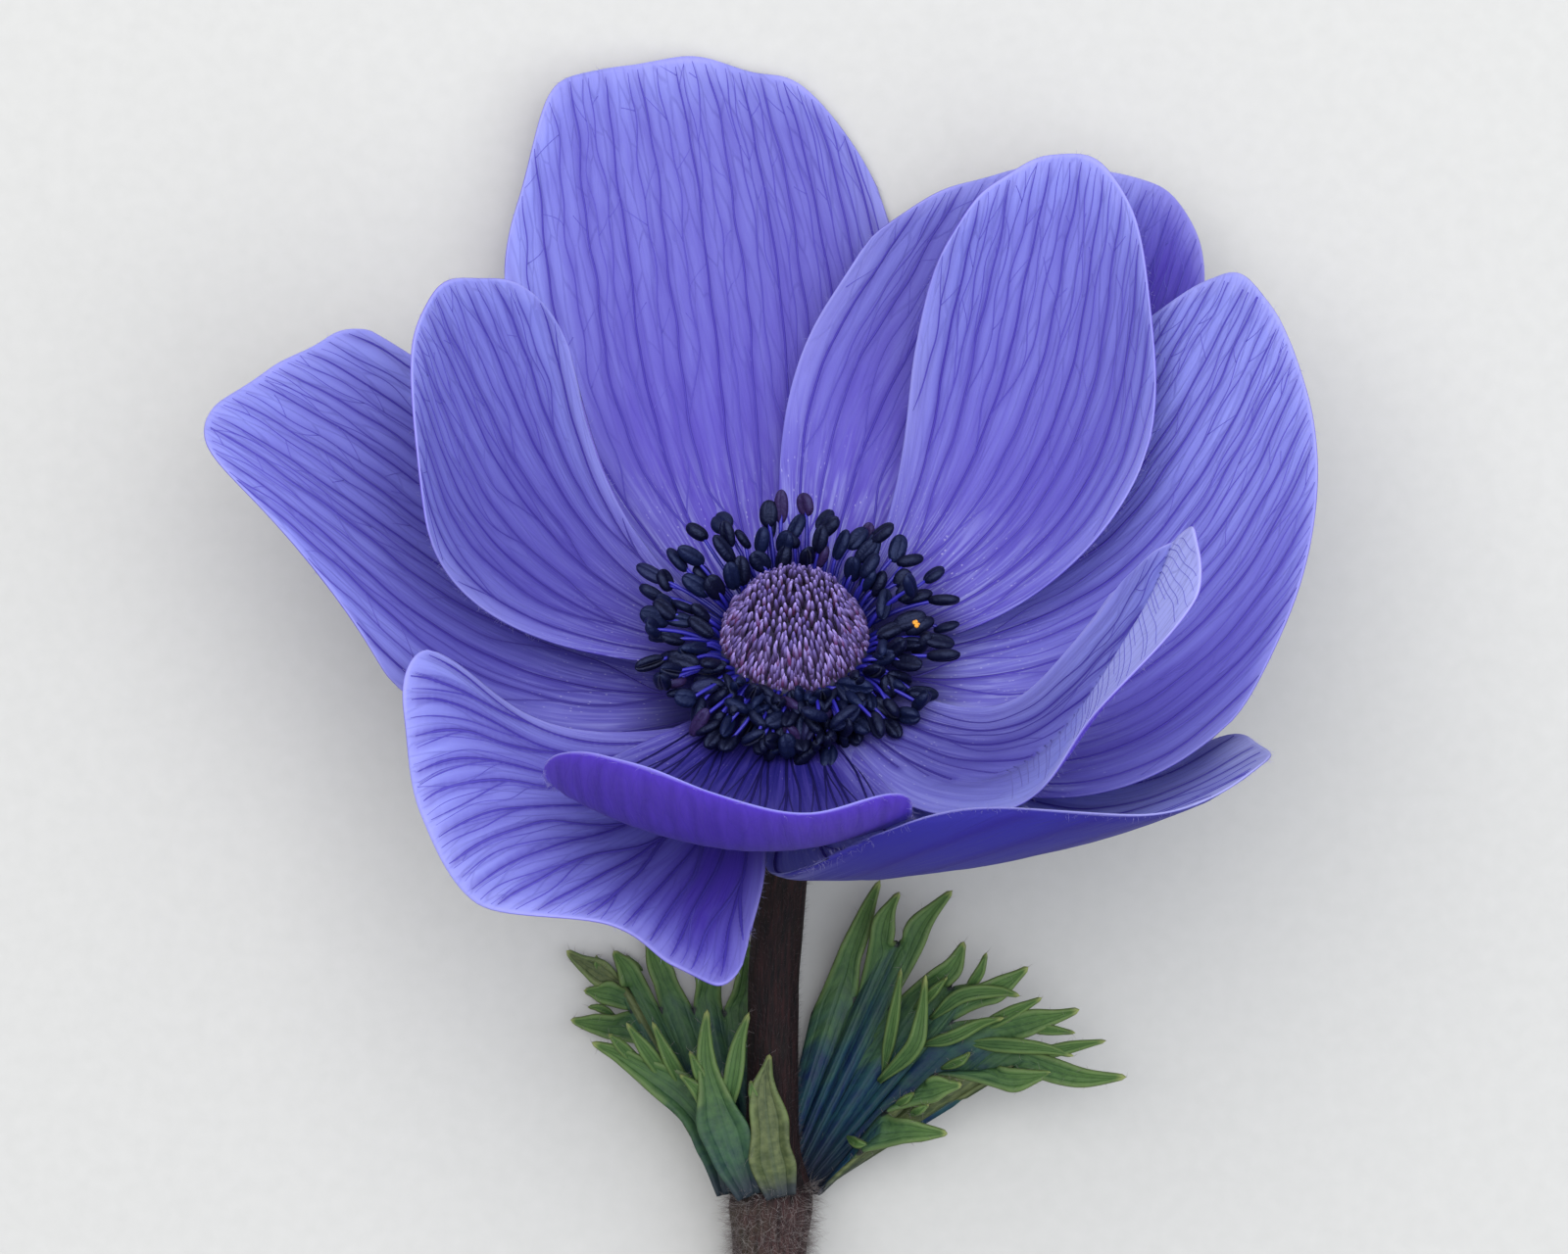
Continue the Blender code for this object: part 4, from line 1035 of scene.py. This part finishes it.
def stem():
    s, line, width, knots = stem_line()
    tangent = unit(np.gradient(line, axis=0))
    side = unit(np.cross(tangent, UP))
    up = np.cross(side, tangent)
    leaves = knots[-1] - SCAPE_LENGTH
    woolly = smooth_step(leaves - 0.5, leaves + 1.2, s)[:, None]
    long, round_it = np.meshgrid(s, turns(STEM_SIDES), indexing="ij")
    relief = (0.045 * np.cos(9 * round_it + 0.8 * np.sin(long * 0.12)) + 0.03 * np.cos(5 * round_it + 1.3)
              + 0.05 * waves(3, np.cos(round_it) * 2.5 + 7, long * 0.5)
              + 0.03 * waves(4, np.sin(round_it) * 5, long * 1.3))
    radius = width[:, None] + np.minimum(relief * (0.6 + 0.7 * woolly), 0.12)
    x, y = np.cos(round_it), np.sin(round_it)
    points = line[:, None] + radius[..., None] * (x[..., None] * side[:, None] + y[..., None] * up[:, None])
    points[..., 2] = np.maximum(points[..., 2], 0.0)
    # the cut: a bevelled lip, then the flat face with its own material
    lip = [line[-1] + share * (points[-1] - line[-1]) + dip * tangent[-1] for share, dip in STEM_CUT]
    across = [spread(share, share * x[0], share * y[0]) for share, _ in STEM_CUT]
    values = {"along": np.concatenate([spread(2.0 * round_it, long, woolly).reshape(-1, 3), *across])}
    obj = make("stem_skin", np.concatenate([points.reshape(-1, 3), *lip]),
               tube_faces([0], len(s) + len(STEM_CUT), STEM_SIDES), STEM_SKIN, "stem", values)
    obj.data.materials.append(CUT_FACE)
    for polygon in obj.data.polygons:
        polygon.material_index = int(min(polygon.vertices) >= (len(s) - 1) * STEM_SIDES)

    rng = np.random.default_rng(21)

    def coat(name, low, high, count, lengths, out, down, radius, seed, bend, skin=WHITE_HAIR):
        at = rng.uniform(low, high, count)
        turn = rng.uniform(0, math.tau, (count, 1))
        row = spread(*(np.interp(at, s, column) for column in (*line.T, *tangent.T, width)))
        way = unit(row[:, 3:6])
        first = unit(np.cross(way, UP))
        outward = np.cos(turn) * first + np.sin(turn) * np.cross(first, way)
        ways = out * outward + down * way + 0.35 * rng.normal(size=(count, 3))
        roots = row[:, :3] + (row[:, 6:] - 0.08) * outward
        long = rng.uniform(*lengths, count)
        keep = roots[:, 2] > 0.35
        hairs(name, roots[keep], ways[keep], long[keep], radius, skin, bend, seed, 3)

    # short hairs lie close along the pedicel, long woolly ones stand out from the scape
    coat("stem_hairs_upper", knots[3] + 1.0, leaves - 1.0, 4200, (0.3, 0.65), 0.8, -0.8, 0.009, 31, 0.3,
         VELVET_HAIR)
    coat("stem_hairs_node", leaves - 0.9, leaves + 4.0, 1700, (0.7, 1.6), 0.9, 0.1, 0.012, 32, 0.6)
    coat("stem_hairs_lower", leaves + 2.0, knots[-1] - 0.5, 4800, (0.5, 1.2), 0.75, -0.6, 0.012, 33, 0.5)


# Bracts. foot: the arc that each wraps round the swelling. Each finger has one tip; between them
# the notches. segments: parts that stand by themselves, with their middle line, half widths and
# whether the inner face is seen. over: narrow fingers and teeth on the main ones, with half width.
BRACTS = {
    "bract_right": dict(
        foot=(-92, 0), teal=1.0,
        tips=[(6.7, -17.6, 2.0), (8.0, -18.4, 3.2), (11.7, -18.3, 3.0), (12.5, -21.8, 4.6),
              (16.9, -23.5, 5.6), (20.4, -26.4, 6.6), (23.6, -31.0, 7.6), (18.6, -30.7, 6.6),
              (12.3, -31.6, 6.0), (11.3, -35.0, 6.2)],
        notches=[(1.9, -27.0, 1.4), (5.0, -26.0, 1.9), (7.9, -22.0, 2.9), (7.4, -26.4, 2.9),
                 (11.6, -25.0, 4.4), (11.6, -27.4, 4.7), (15.4, -29.0, 5.6), (15.0, -30.6, 5.6),
                 (10.4, -31.0, 4.9), (6.9, -33.7, 4.7), (5.2, -36.4, 4.9)],
        over=[([(6.9, -31.0, 3.5), (7.6, -27.0, 4.7), (8.1, -23.6, 5.3)], 0.42),
              ([(6.6, -31.6, 3.7), (8.9, -29.2, 4.9), (9.5, -27.0, 5.3), (9.8, -24.0, 6.0)], 0.60),
              ([(9.0, -26.6, 4.3), (10.3, -25.3, 5.0), (11.3, -24.2, 5.4)], 0.36),
              ([(12.6, -25.3, 5.3), (13.5, -23.9, 5.8), (14.0, -22.5, 6.1)], 0.36),
              ([(10.2, -27.2, 4.6), (12.3, -25.5, 5.5), (14.8, -25.2, 6.0), (16.3, -25.5, 6.3)], 0.52),
              ([(13.3, -28.0, 5.5), (15.8, -26.6, 6.3), (17.8, -25.6, 6.9)], 0.48),
              ([(16.2, -27.6, 6.2), (18.3, -27.8, 6.8), (20.1, -28.0, 7.2)], 0.38),
              ([(16.3, -29.9, 6.3), (19.6, -29.0, 7.2), (22.2, -28.5, 7.8)], 0.44),
              ([(12.4, -28.8, 5.2), (15.4, -28.9, 6.2), (18.0, -29.1, 6.9), (20.0, -29.6, 7.3)], 0.52),
              ([(9.6, -29.0, 4.7), (11.6, -28.4, 5.5), (13.6, -27.4, 6.1), (15.2, -27.0, 6.5)], 0.46),
              ([(10.9, -30.6, 5.3), (12.2, -30.0, 5.8), (12.9, -29.4, 6.0)], 0.32),
              ([(7.7, -33.2, 5.2), (8.4, -32.7, 5.5), (9.0, -32.2, 5.7)], 0.30),
              ([(8.7, -33.8, 5.5), (9.4, -33.4, 5.8), (10.0, -33.0, 6.0)], 0.30),
              ([(4.4, -35.4, 4.2), (5.1, -35.8, 4.7), (5.9, -35.9, 5.0)], 0.34)]),
    "bract_back": dict(
        foot=(-172, -106), teal=0.6,
        tips=[(-14.9, -27.4, 1.1), (-14.0, -25.4, 0.5), (-15.2, -22.6, 0.6), (-11.9, -22.6, 0.6),
              (-9.6, -21.4, 0.3), (-6.2, -21.6, 0.4), (-3.0, -21.0, 0.4)],
        notches=[(-9.6, -29.2, 1.5), (-10.6, -26.8, 0.9), (-10.5, -25.4, 0.6), (-11.2, -25.0, 0.6),
                 (-8.6, -26.8, 0.5), (-6.3, -26.8, 0.5), (-4.2, -27.0, 0.45), (-1.9, -29.5, 0.6)],
        over=[([(-12.6, -24.4, 1.0), (-13.0, -23.6, 1.2), (-13.1, -22.9, 1.3)], 0.28),
              ([(-11.8, -27.2, 1.4), (-12.8, -26.6, 1.5), (-13.7, -26.5, 1.5)], 0.28),
              ([(-9.9, -24.0, 0.9), (-10.7, -23.4, 1.0), (-11.0, -22.9, 1.1)], 0.26)]),
    "bract_front": dict(
        teal=0.35,
        segments=[([(-3.9, -39.3, 4.9), (-4.7, -35.6, 5.2), (-7.2, -32.2, 5.7), (-10.6, -30.0, 6.0),
                    (-13.3, -28.7, 6.2)],
                   (0.7, 1.45, 1.25, 0.75, 0.5), 1),
                  ([(-2.4, -39.3, 6.9), (-3.7, -36.0, 7.2), (-4.6, -33.0, 7.45),
                    (-5.4, -30.0, 7.7), (-5.3, -26.3, 8.0)],
                   (0.8, 1.5, 1.35, 0.62, 0.5), 1),
                  ([(-0.2, -39.3, 7.3), (-0.7, -37.0, 7.5), (-1.1, -34.4, 7.7),
                    (-1.3, -31.6, 7.8), (-1.0, -29.4, 8.0)],
                   (1.0, 1.50, 1.35, 0.75, 0.4), 0)],
        over=[([(-9.7, -30.6, 5.7), (-11.2, -29.0, 6.4), (-12.1, -28.1, 6.6)], 0.42),
              ([(-7.6, -31.9, 5.4), (-9.4, -29.4, 6.5), (-10.9, -27.3, 6.9)], 0.55),
              ([(-6.4, -32.6, 5.2), (-7.9, -29.8, 6.6), (-9.1, -27.2, 7.0)], 0.50),
              ([(-4.9, -34.0, 7.0), (-5.9, -32.0, 7.6), (-7.2, -30.8, 7.7)], 0.50),
              ([(-5.2, -32.4, 7.2), (-5.9, -30.6, 7.8), (-6.5, -29.2, 8.0)], 0.40),
              ([(-4.1, -34.2, 7.0), (-3.5, -31.0, 7.8), (-3.1, -28.6, 8.0), (-2.4, -26.5, 8.2)], 0.64),
              ([(-1.6, -33.6, 7.4), (-2.1, -32.2, 7.9), (-2.3, -31.2, 8.0)], 0.34)]),
}
BRACT_FOOT_RADIUS, BRACT_THICKNESS = 3.2, 0.36
BODY_ROWS, FINGER_ROWS, SEGMENT_ROWS, TOOTH_ROWS = 16, 22, 44, 17
ACROSS = np.linspace(-1, 1, 11)
KEEL = np.abs(ACROSS) ** 1.6   # blades turn up towards their margins
LIT_BOTH, LIT_NONE = -1.0, -2.0   # marks of sheets that show the inner or the outer face on both sides
NO_NOTCH = 9.0   # stands for a notch that is far away


def ruled(low, high, t):
    sag = 0.6 * np.sin(math.pi * t) * np.clip((high[..., 2:] - 3.0) / 3.0, 0, 1)
    return ((1 - t) * low + t * high - sag * UP)[:, None]


def course(way, rows, sunk=0.0):
    """A smooth line through the points of way, and the level direction across it."""
    t, way = np.linspace(0, 1, rows), np.array(way) + SHIFT
    way[0, 2] -= sunk
    line = spread(*(ease(column, t) for column in way.T))
    return t[:, None], line[:, None], unit(np.cross(unit(np.gradient(line, axis=0)), UP))[:, None]


def bract(name, b, index):
    rng = np.random.default_rng(60 + index)
    teal, parts, faces = b["teal"], [], []

    def add(middle, sideways, half, lift, along, grain, mark=0.0, notches=(), teal=teal):
        """One sheet: rows of points across a line, and what its material reads."""
        sheet = middle + (ACROSS * half)[..., None] * sideways + lift[..., None] * UP
        rows, columns = sheet.shape[:2]
        start = sum(len(part[0]) for part in parts)
        corner = start + np.arange(rows * columns).reshape(rows, columns)[:-1, :-1].reshape(-1, 1)
        faces.extend((corner + (0, columns, columns + 1, 1)).tolist())
        gaps = [np.linalg.norm(sheet - notch, axis=-1) for notch in notches]
        gap = np.min(gaps, 0) if gaps else NO_NOTCH
        tags = [spread(*(np.broadcast_to(tag, (rows, columns)) for tag in group))
                for group in ((ACROSS, along, grain), (mark, teal, gap))]
        parts.append([grid.reshape(-1, 3) for grid in (sheet, *tags)])
        return sheet

    notches, tips = (np.array(b.get(key, ())).reshape(-1, 3) + SHIFT for key in ("notches", "tips"))
    arc = np.radians(np.linspace(*b.get("foot", (0, 0)), 2 * len(tips) + 1))
    foot = SHIFT + LEAF_NODE + BRACT_FOOT_RADIUS * spread(np.cos(arc), 0, np.sin(arc))
    foot[:, 2] = np.maximum(foot[:, 2], FLOOR_GRIP)
    for i, tip in enumerate(tips):
        left, right = pair = notches[i:i + 2]
        root = 0.5 * (left + right)
        reach = np.linalg.norm(tip - root)
        root = root + 0.16 * (tip - root)
        sideways = unit(np.cross(tip - root, UP))
        sideways = sideways * np.sign(sideways @ (right - left))
        t = np.linspace(0, 1, BODY_ROWS)[:, None]
        tops = (left, root + 0.22 * t * UP, right)
        a, m, z = (ruled(low, high, t) for low, high in zip(foot[2 * i:], tops))
        k = ACROSS[:, None]
        body = np.where(k <= 0, a + (m - a) * (1 + k), m + (z - m) * k)
        # ribs stand between shallow furrows
        rib = 0.22 * np.cos(math.pi * ACROSS) * np.sin(math.pi * np.minimum(t, 0.95))
        body = add(body, 0.0, 0.0 * rib, rib, t, 10.0 * t + 3.1 * i, notches=pair)
        bow = sideways * rng.uniform(-0.5, 0.5) * min(1.0, reach / 6)
        t = np.linspace(0, 1, FINGER_ROWS)[:, None]
        half = min(0.80, 0.12 * reach + 0.38) * (1 - t) ** 0.5
        half = half * (1 + 0.35 * np.sin(math.pi * np.minimum(1, t * 1.1)) ** 2)
        tooth = 1 + 0.10 * np.sin(9 * t + 2.0 * i + 2.0 * (ACROSS > 0))
        lift = 0.22 * (1 - t) + 0.35 * np.sin(math.pi * t) + 0.25 * t * t
        middle = root + lift * UP + t * (tip - root) + bow * np.sin(math.pi * t)
        # each finger leaves its body gradually
        blend = smooth_step(0.0, 0.30, t)
        start = body[-1] + t[..., None] * (tip - root)
        middle = (1 - blend[..., None]) * start + (blend * middle)[:, None]
        add(middle, sideways, half * tooth * blend, 0.42 * half * KEEL * blend, 1 + t,
            10.0 + reach * t + 3.1 * i, notches=pair)
    for j, (way, widths, lit) in enumerate(b.get("segments", ())):
        t, middle, sideways = course(way, SEGMENT_ROWS)
        half = ease(widths, t) * np.minimum(1, ((1 - t) / 0.22) ** 0.55)
        lobes = 1 + 0.16 * np.sin(13 * t + 2.4 * j + 1.7 * (ACROSS > 0)) * smooth_step(0.15, 0.4, t)
        lift = half * (0.38 * KEEL + 0.14 * np.cos(2 * math.pi * ACROSS) * (1 - t))
        add(middle, sideways, half * lobes, lift, 2.0 * t, 30.0 + 12.0 * t + 7.3 * j,
            LIT_BOTH if lit else LIT_NONE)
    # narrow fingers and teeth that lie over the main ones, their roots sunk in them
    for j, (way, widest) in enumerate(b["over"]):
        t, middle, sideways = course(way, TOOTH_ROWS, 0.55)
        half = widest * (1 - t) ** 0.5 * (0.9 + 0.4 * np.sin(math.pi * t) ** 2)
        half = half * np.minimum(1.0, 0.35 + 3.0 * t)
        add(middle, sideways, half, 0.4 * half * KEEL, 1.1 + 0.9 * t, 60.0 + 5.0 * t + 3.1 * j, LIT_BOTH,
            teal=0.5 * teal)
    points, leaf, more = (np.concatenate(column) for column in zip(*parts))
    points[:, 2] = np.maximum(points[:, 2], FLOOR_GRIP)
    mesh = new_mesh(name + "_leaf", points, faces, {"leaf": leaf, "leaf_more": more})
    bm = bmesh.new()
    bm.from_mesh(mesh)
    bmesh.ops.remove_doubles(bm, verts=bm.verts, dist=0.02 * MM)
    bmesh.ops.recalc_face_normals(bm, faces=bm.faces)
    if sum(f.normal.z * f.calc_area() for f in bm.faces) < 0:
        bmesh.ops.reverse_faces(bm, faces=bm.faces)
    # both faces from the one sheet: the upper gets 1 as its mark, the lower 0
    tags = [bm.verts.layers.float_vector[key] for key in ("leaf", "leaf_more")]
    ways = {v: v.normal.copy() for v in bm.verts}
    open_edges = [e for e in bm.edges if e.is_boundary]
    rim = {v for e in open_edges for v in e.verts}
    lower = {}
    for v in list(bm.verts):
        offset = ways[v] * 0.5 * BRACT_THICKNESS * MM * (0.5 if v in rim else 1.0)
        lower[v] = bm.verts.new(v.co - offset)
        v.co = v.co + offset
        mark = v[tags[1]].copy()
        lower[v][tags[0]] = v[tags[0]]
        lower[v][tags[1]] = (float(mark.x == LIT_BOTH), mark.y, mark.z)
        v[tags[1]] = (float(mark.x != LIT_NONE), mark.y, mark.z)
    for f in list(bm.faces):
        bm.faces.new([lower[v] for v in reversed(f.verts)])
    for a, z in (e.verts for e in open_edges):
        bm.faces.new((a, z, lower[z], lower[a]))
    bmesh.ops.recalc_face_normals(bm, faces=bm.faces)
    for v in bm.verts:
        v.co.z = max(v.co.z, 0.0)
    bm.to_mesh(mesh)
    bm.free()
    show(name + "_leaf", mesh, BRACT_SKIN, name)
    # small white hairs along the margins, more of them near the tips
    edge = np.abs(leaf[:, 0]) > 0.95
    along = leaf[edge, 1]
    chance = 0.45 * (0.25 + 0.75 * np.clip(along - 1, 0, 1)) * (along > 0.2)
    roots = points[edge][rng.uniform(size=len(chance)) < chance]
    count = len(roots)
    ways = np.stack([rng.normal(0, 1, count), rng.normal(0.5, 1, count), rng.uniform(0, 1, count)], -1)
    lengths = rng.uniform(0.3, 0.75, count)
    hairs(name + "_hairs", roots, ways, lengths, 0.014, WHITE_HAIR, 0.3, 80 + index)


for order, (petal_name, petal_values) in enumerate(PETALS.items()):
    petal(petal_name, petal_values, order)
pistil_head()
stamens()
stem()
for order, (bract_name, bract_values) in enumerate(BRACTS.items()):
    bract(bract_name, bract_values, order)


# Floor, light and camera, in metres
FLOOR_REACH, FLOOR_DROP = 3.0, 0.0002
CAMERA_ABOVE_HEAD, SENSOR, LENS = 0.5, 36.0, 168.75
LAMP_SIZE, LAMP_AIM = 0.80, Vector((0.002, 0.032, 0.014))


def floor():
    skin = new_material("studio_floor")
    grain = noise(own_place(skin), 900.0, 3.0)
    dress(skin, mix(grain, (0.43, 0.43, 0.42), (0.47, 0.47, 0.46)), 0.85, (grain, 0.1, 0.1))
    square = ((-1, -1), (1, -1), (1, 1), (-1, 1))
    corners = [(x * FLOOR_REACH, y * FLOOR_REACH, -FLOOR_DROP) for x, y in square]
    mesh = bpy.data.meshes.new("studio_floor")
    mesh.from_pydata(corners, [], [(0, 1, 2, 3)])
    mesh.materials.append(skin)
    link("studio_floor", mesh)


def lamp(name, place, power, colour):
    light = bpy.data.lights.new(name, "AREA")
    light.shape, light.size, light.energy, light.color = "DISK", LAMP_SIZE, power, colour
    obj = link(name, light)
    obj.location = place
    obj.rotation_mode = "QUATERNION"
    obj.rotation_quaternion = (LAMP_AIM - Vector(place)).to_track_quat("-Z", "Y")


def camera():
    data = bpy.data.cameras.new("camera")
    data.sensor_width, data.lens = SENSOR, LENS
    data.clip_start, data.clip_end = 0.01, 10.0
    obj = link("camera", data)
    obj.location = (SHIFT[0] * MM, SHIFT[1] * MM, HEAD[2] * MM + CAMERA_ABOVE_HEAD)
    bpy.context.scene.camera = obj


floor()
lamp("key", (-0.12, 0.26, 0.60), 4.8, (1.0, 0.98, 0.96))
lamp("fill", (0.30, 0.00, 0.55), 2.8, (0.93, 0.96, 1.0))
world = bpy.data.worlds.new("studio")
world.use_nodes = True
sky = world.node_tree.nodes["Background"].inputs
sky["Color"].default_value, sky["Strength"].default_value = (0.92, 0.95, 1.0, 1.0), 0.67
bpy.context.scene.world = world
bpy.context.scene.view_settings.view_transform = "Standard"
camera()
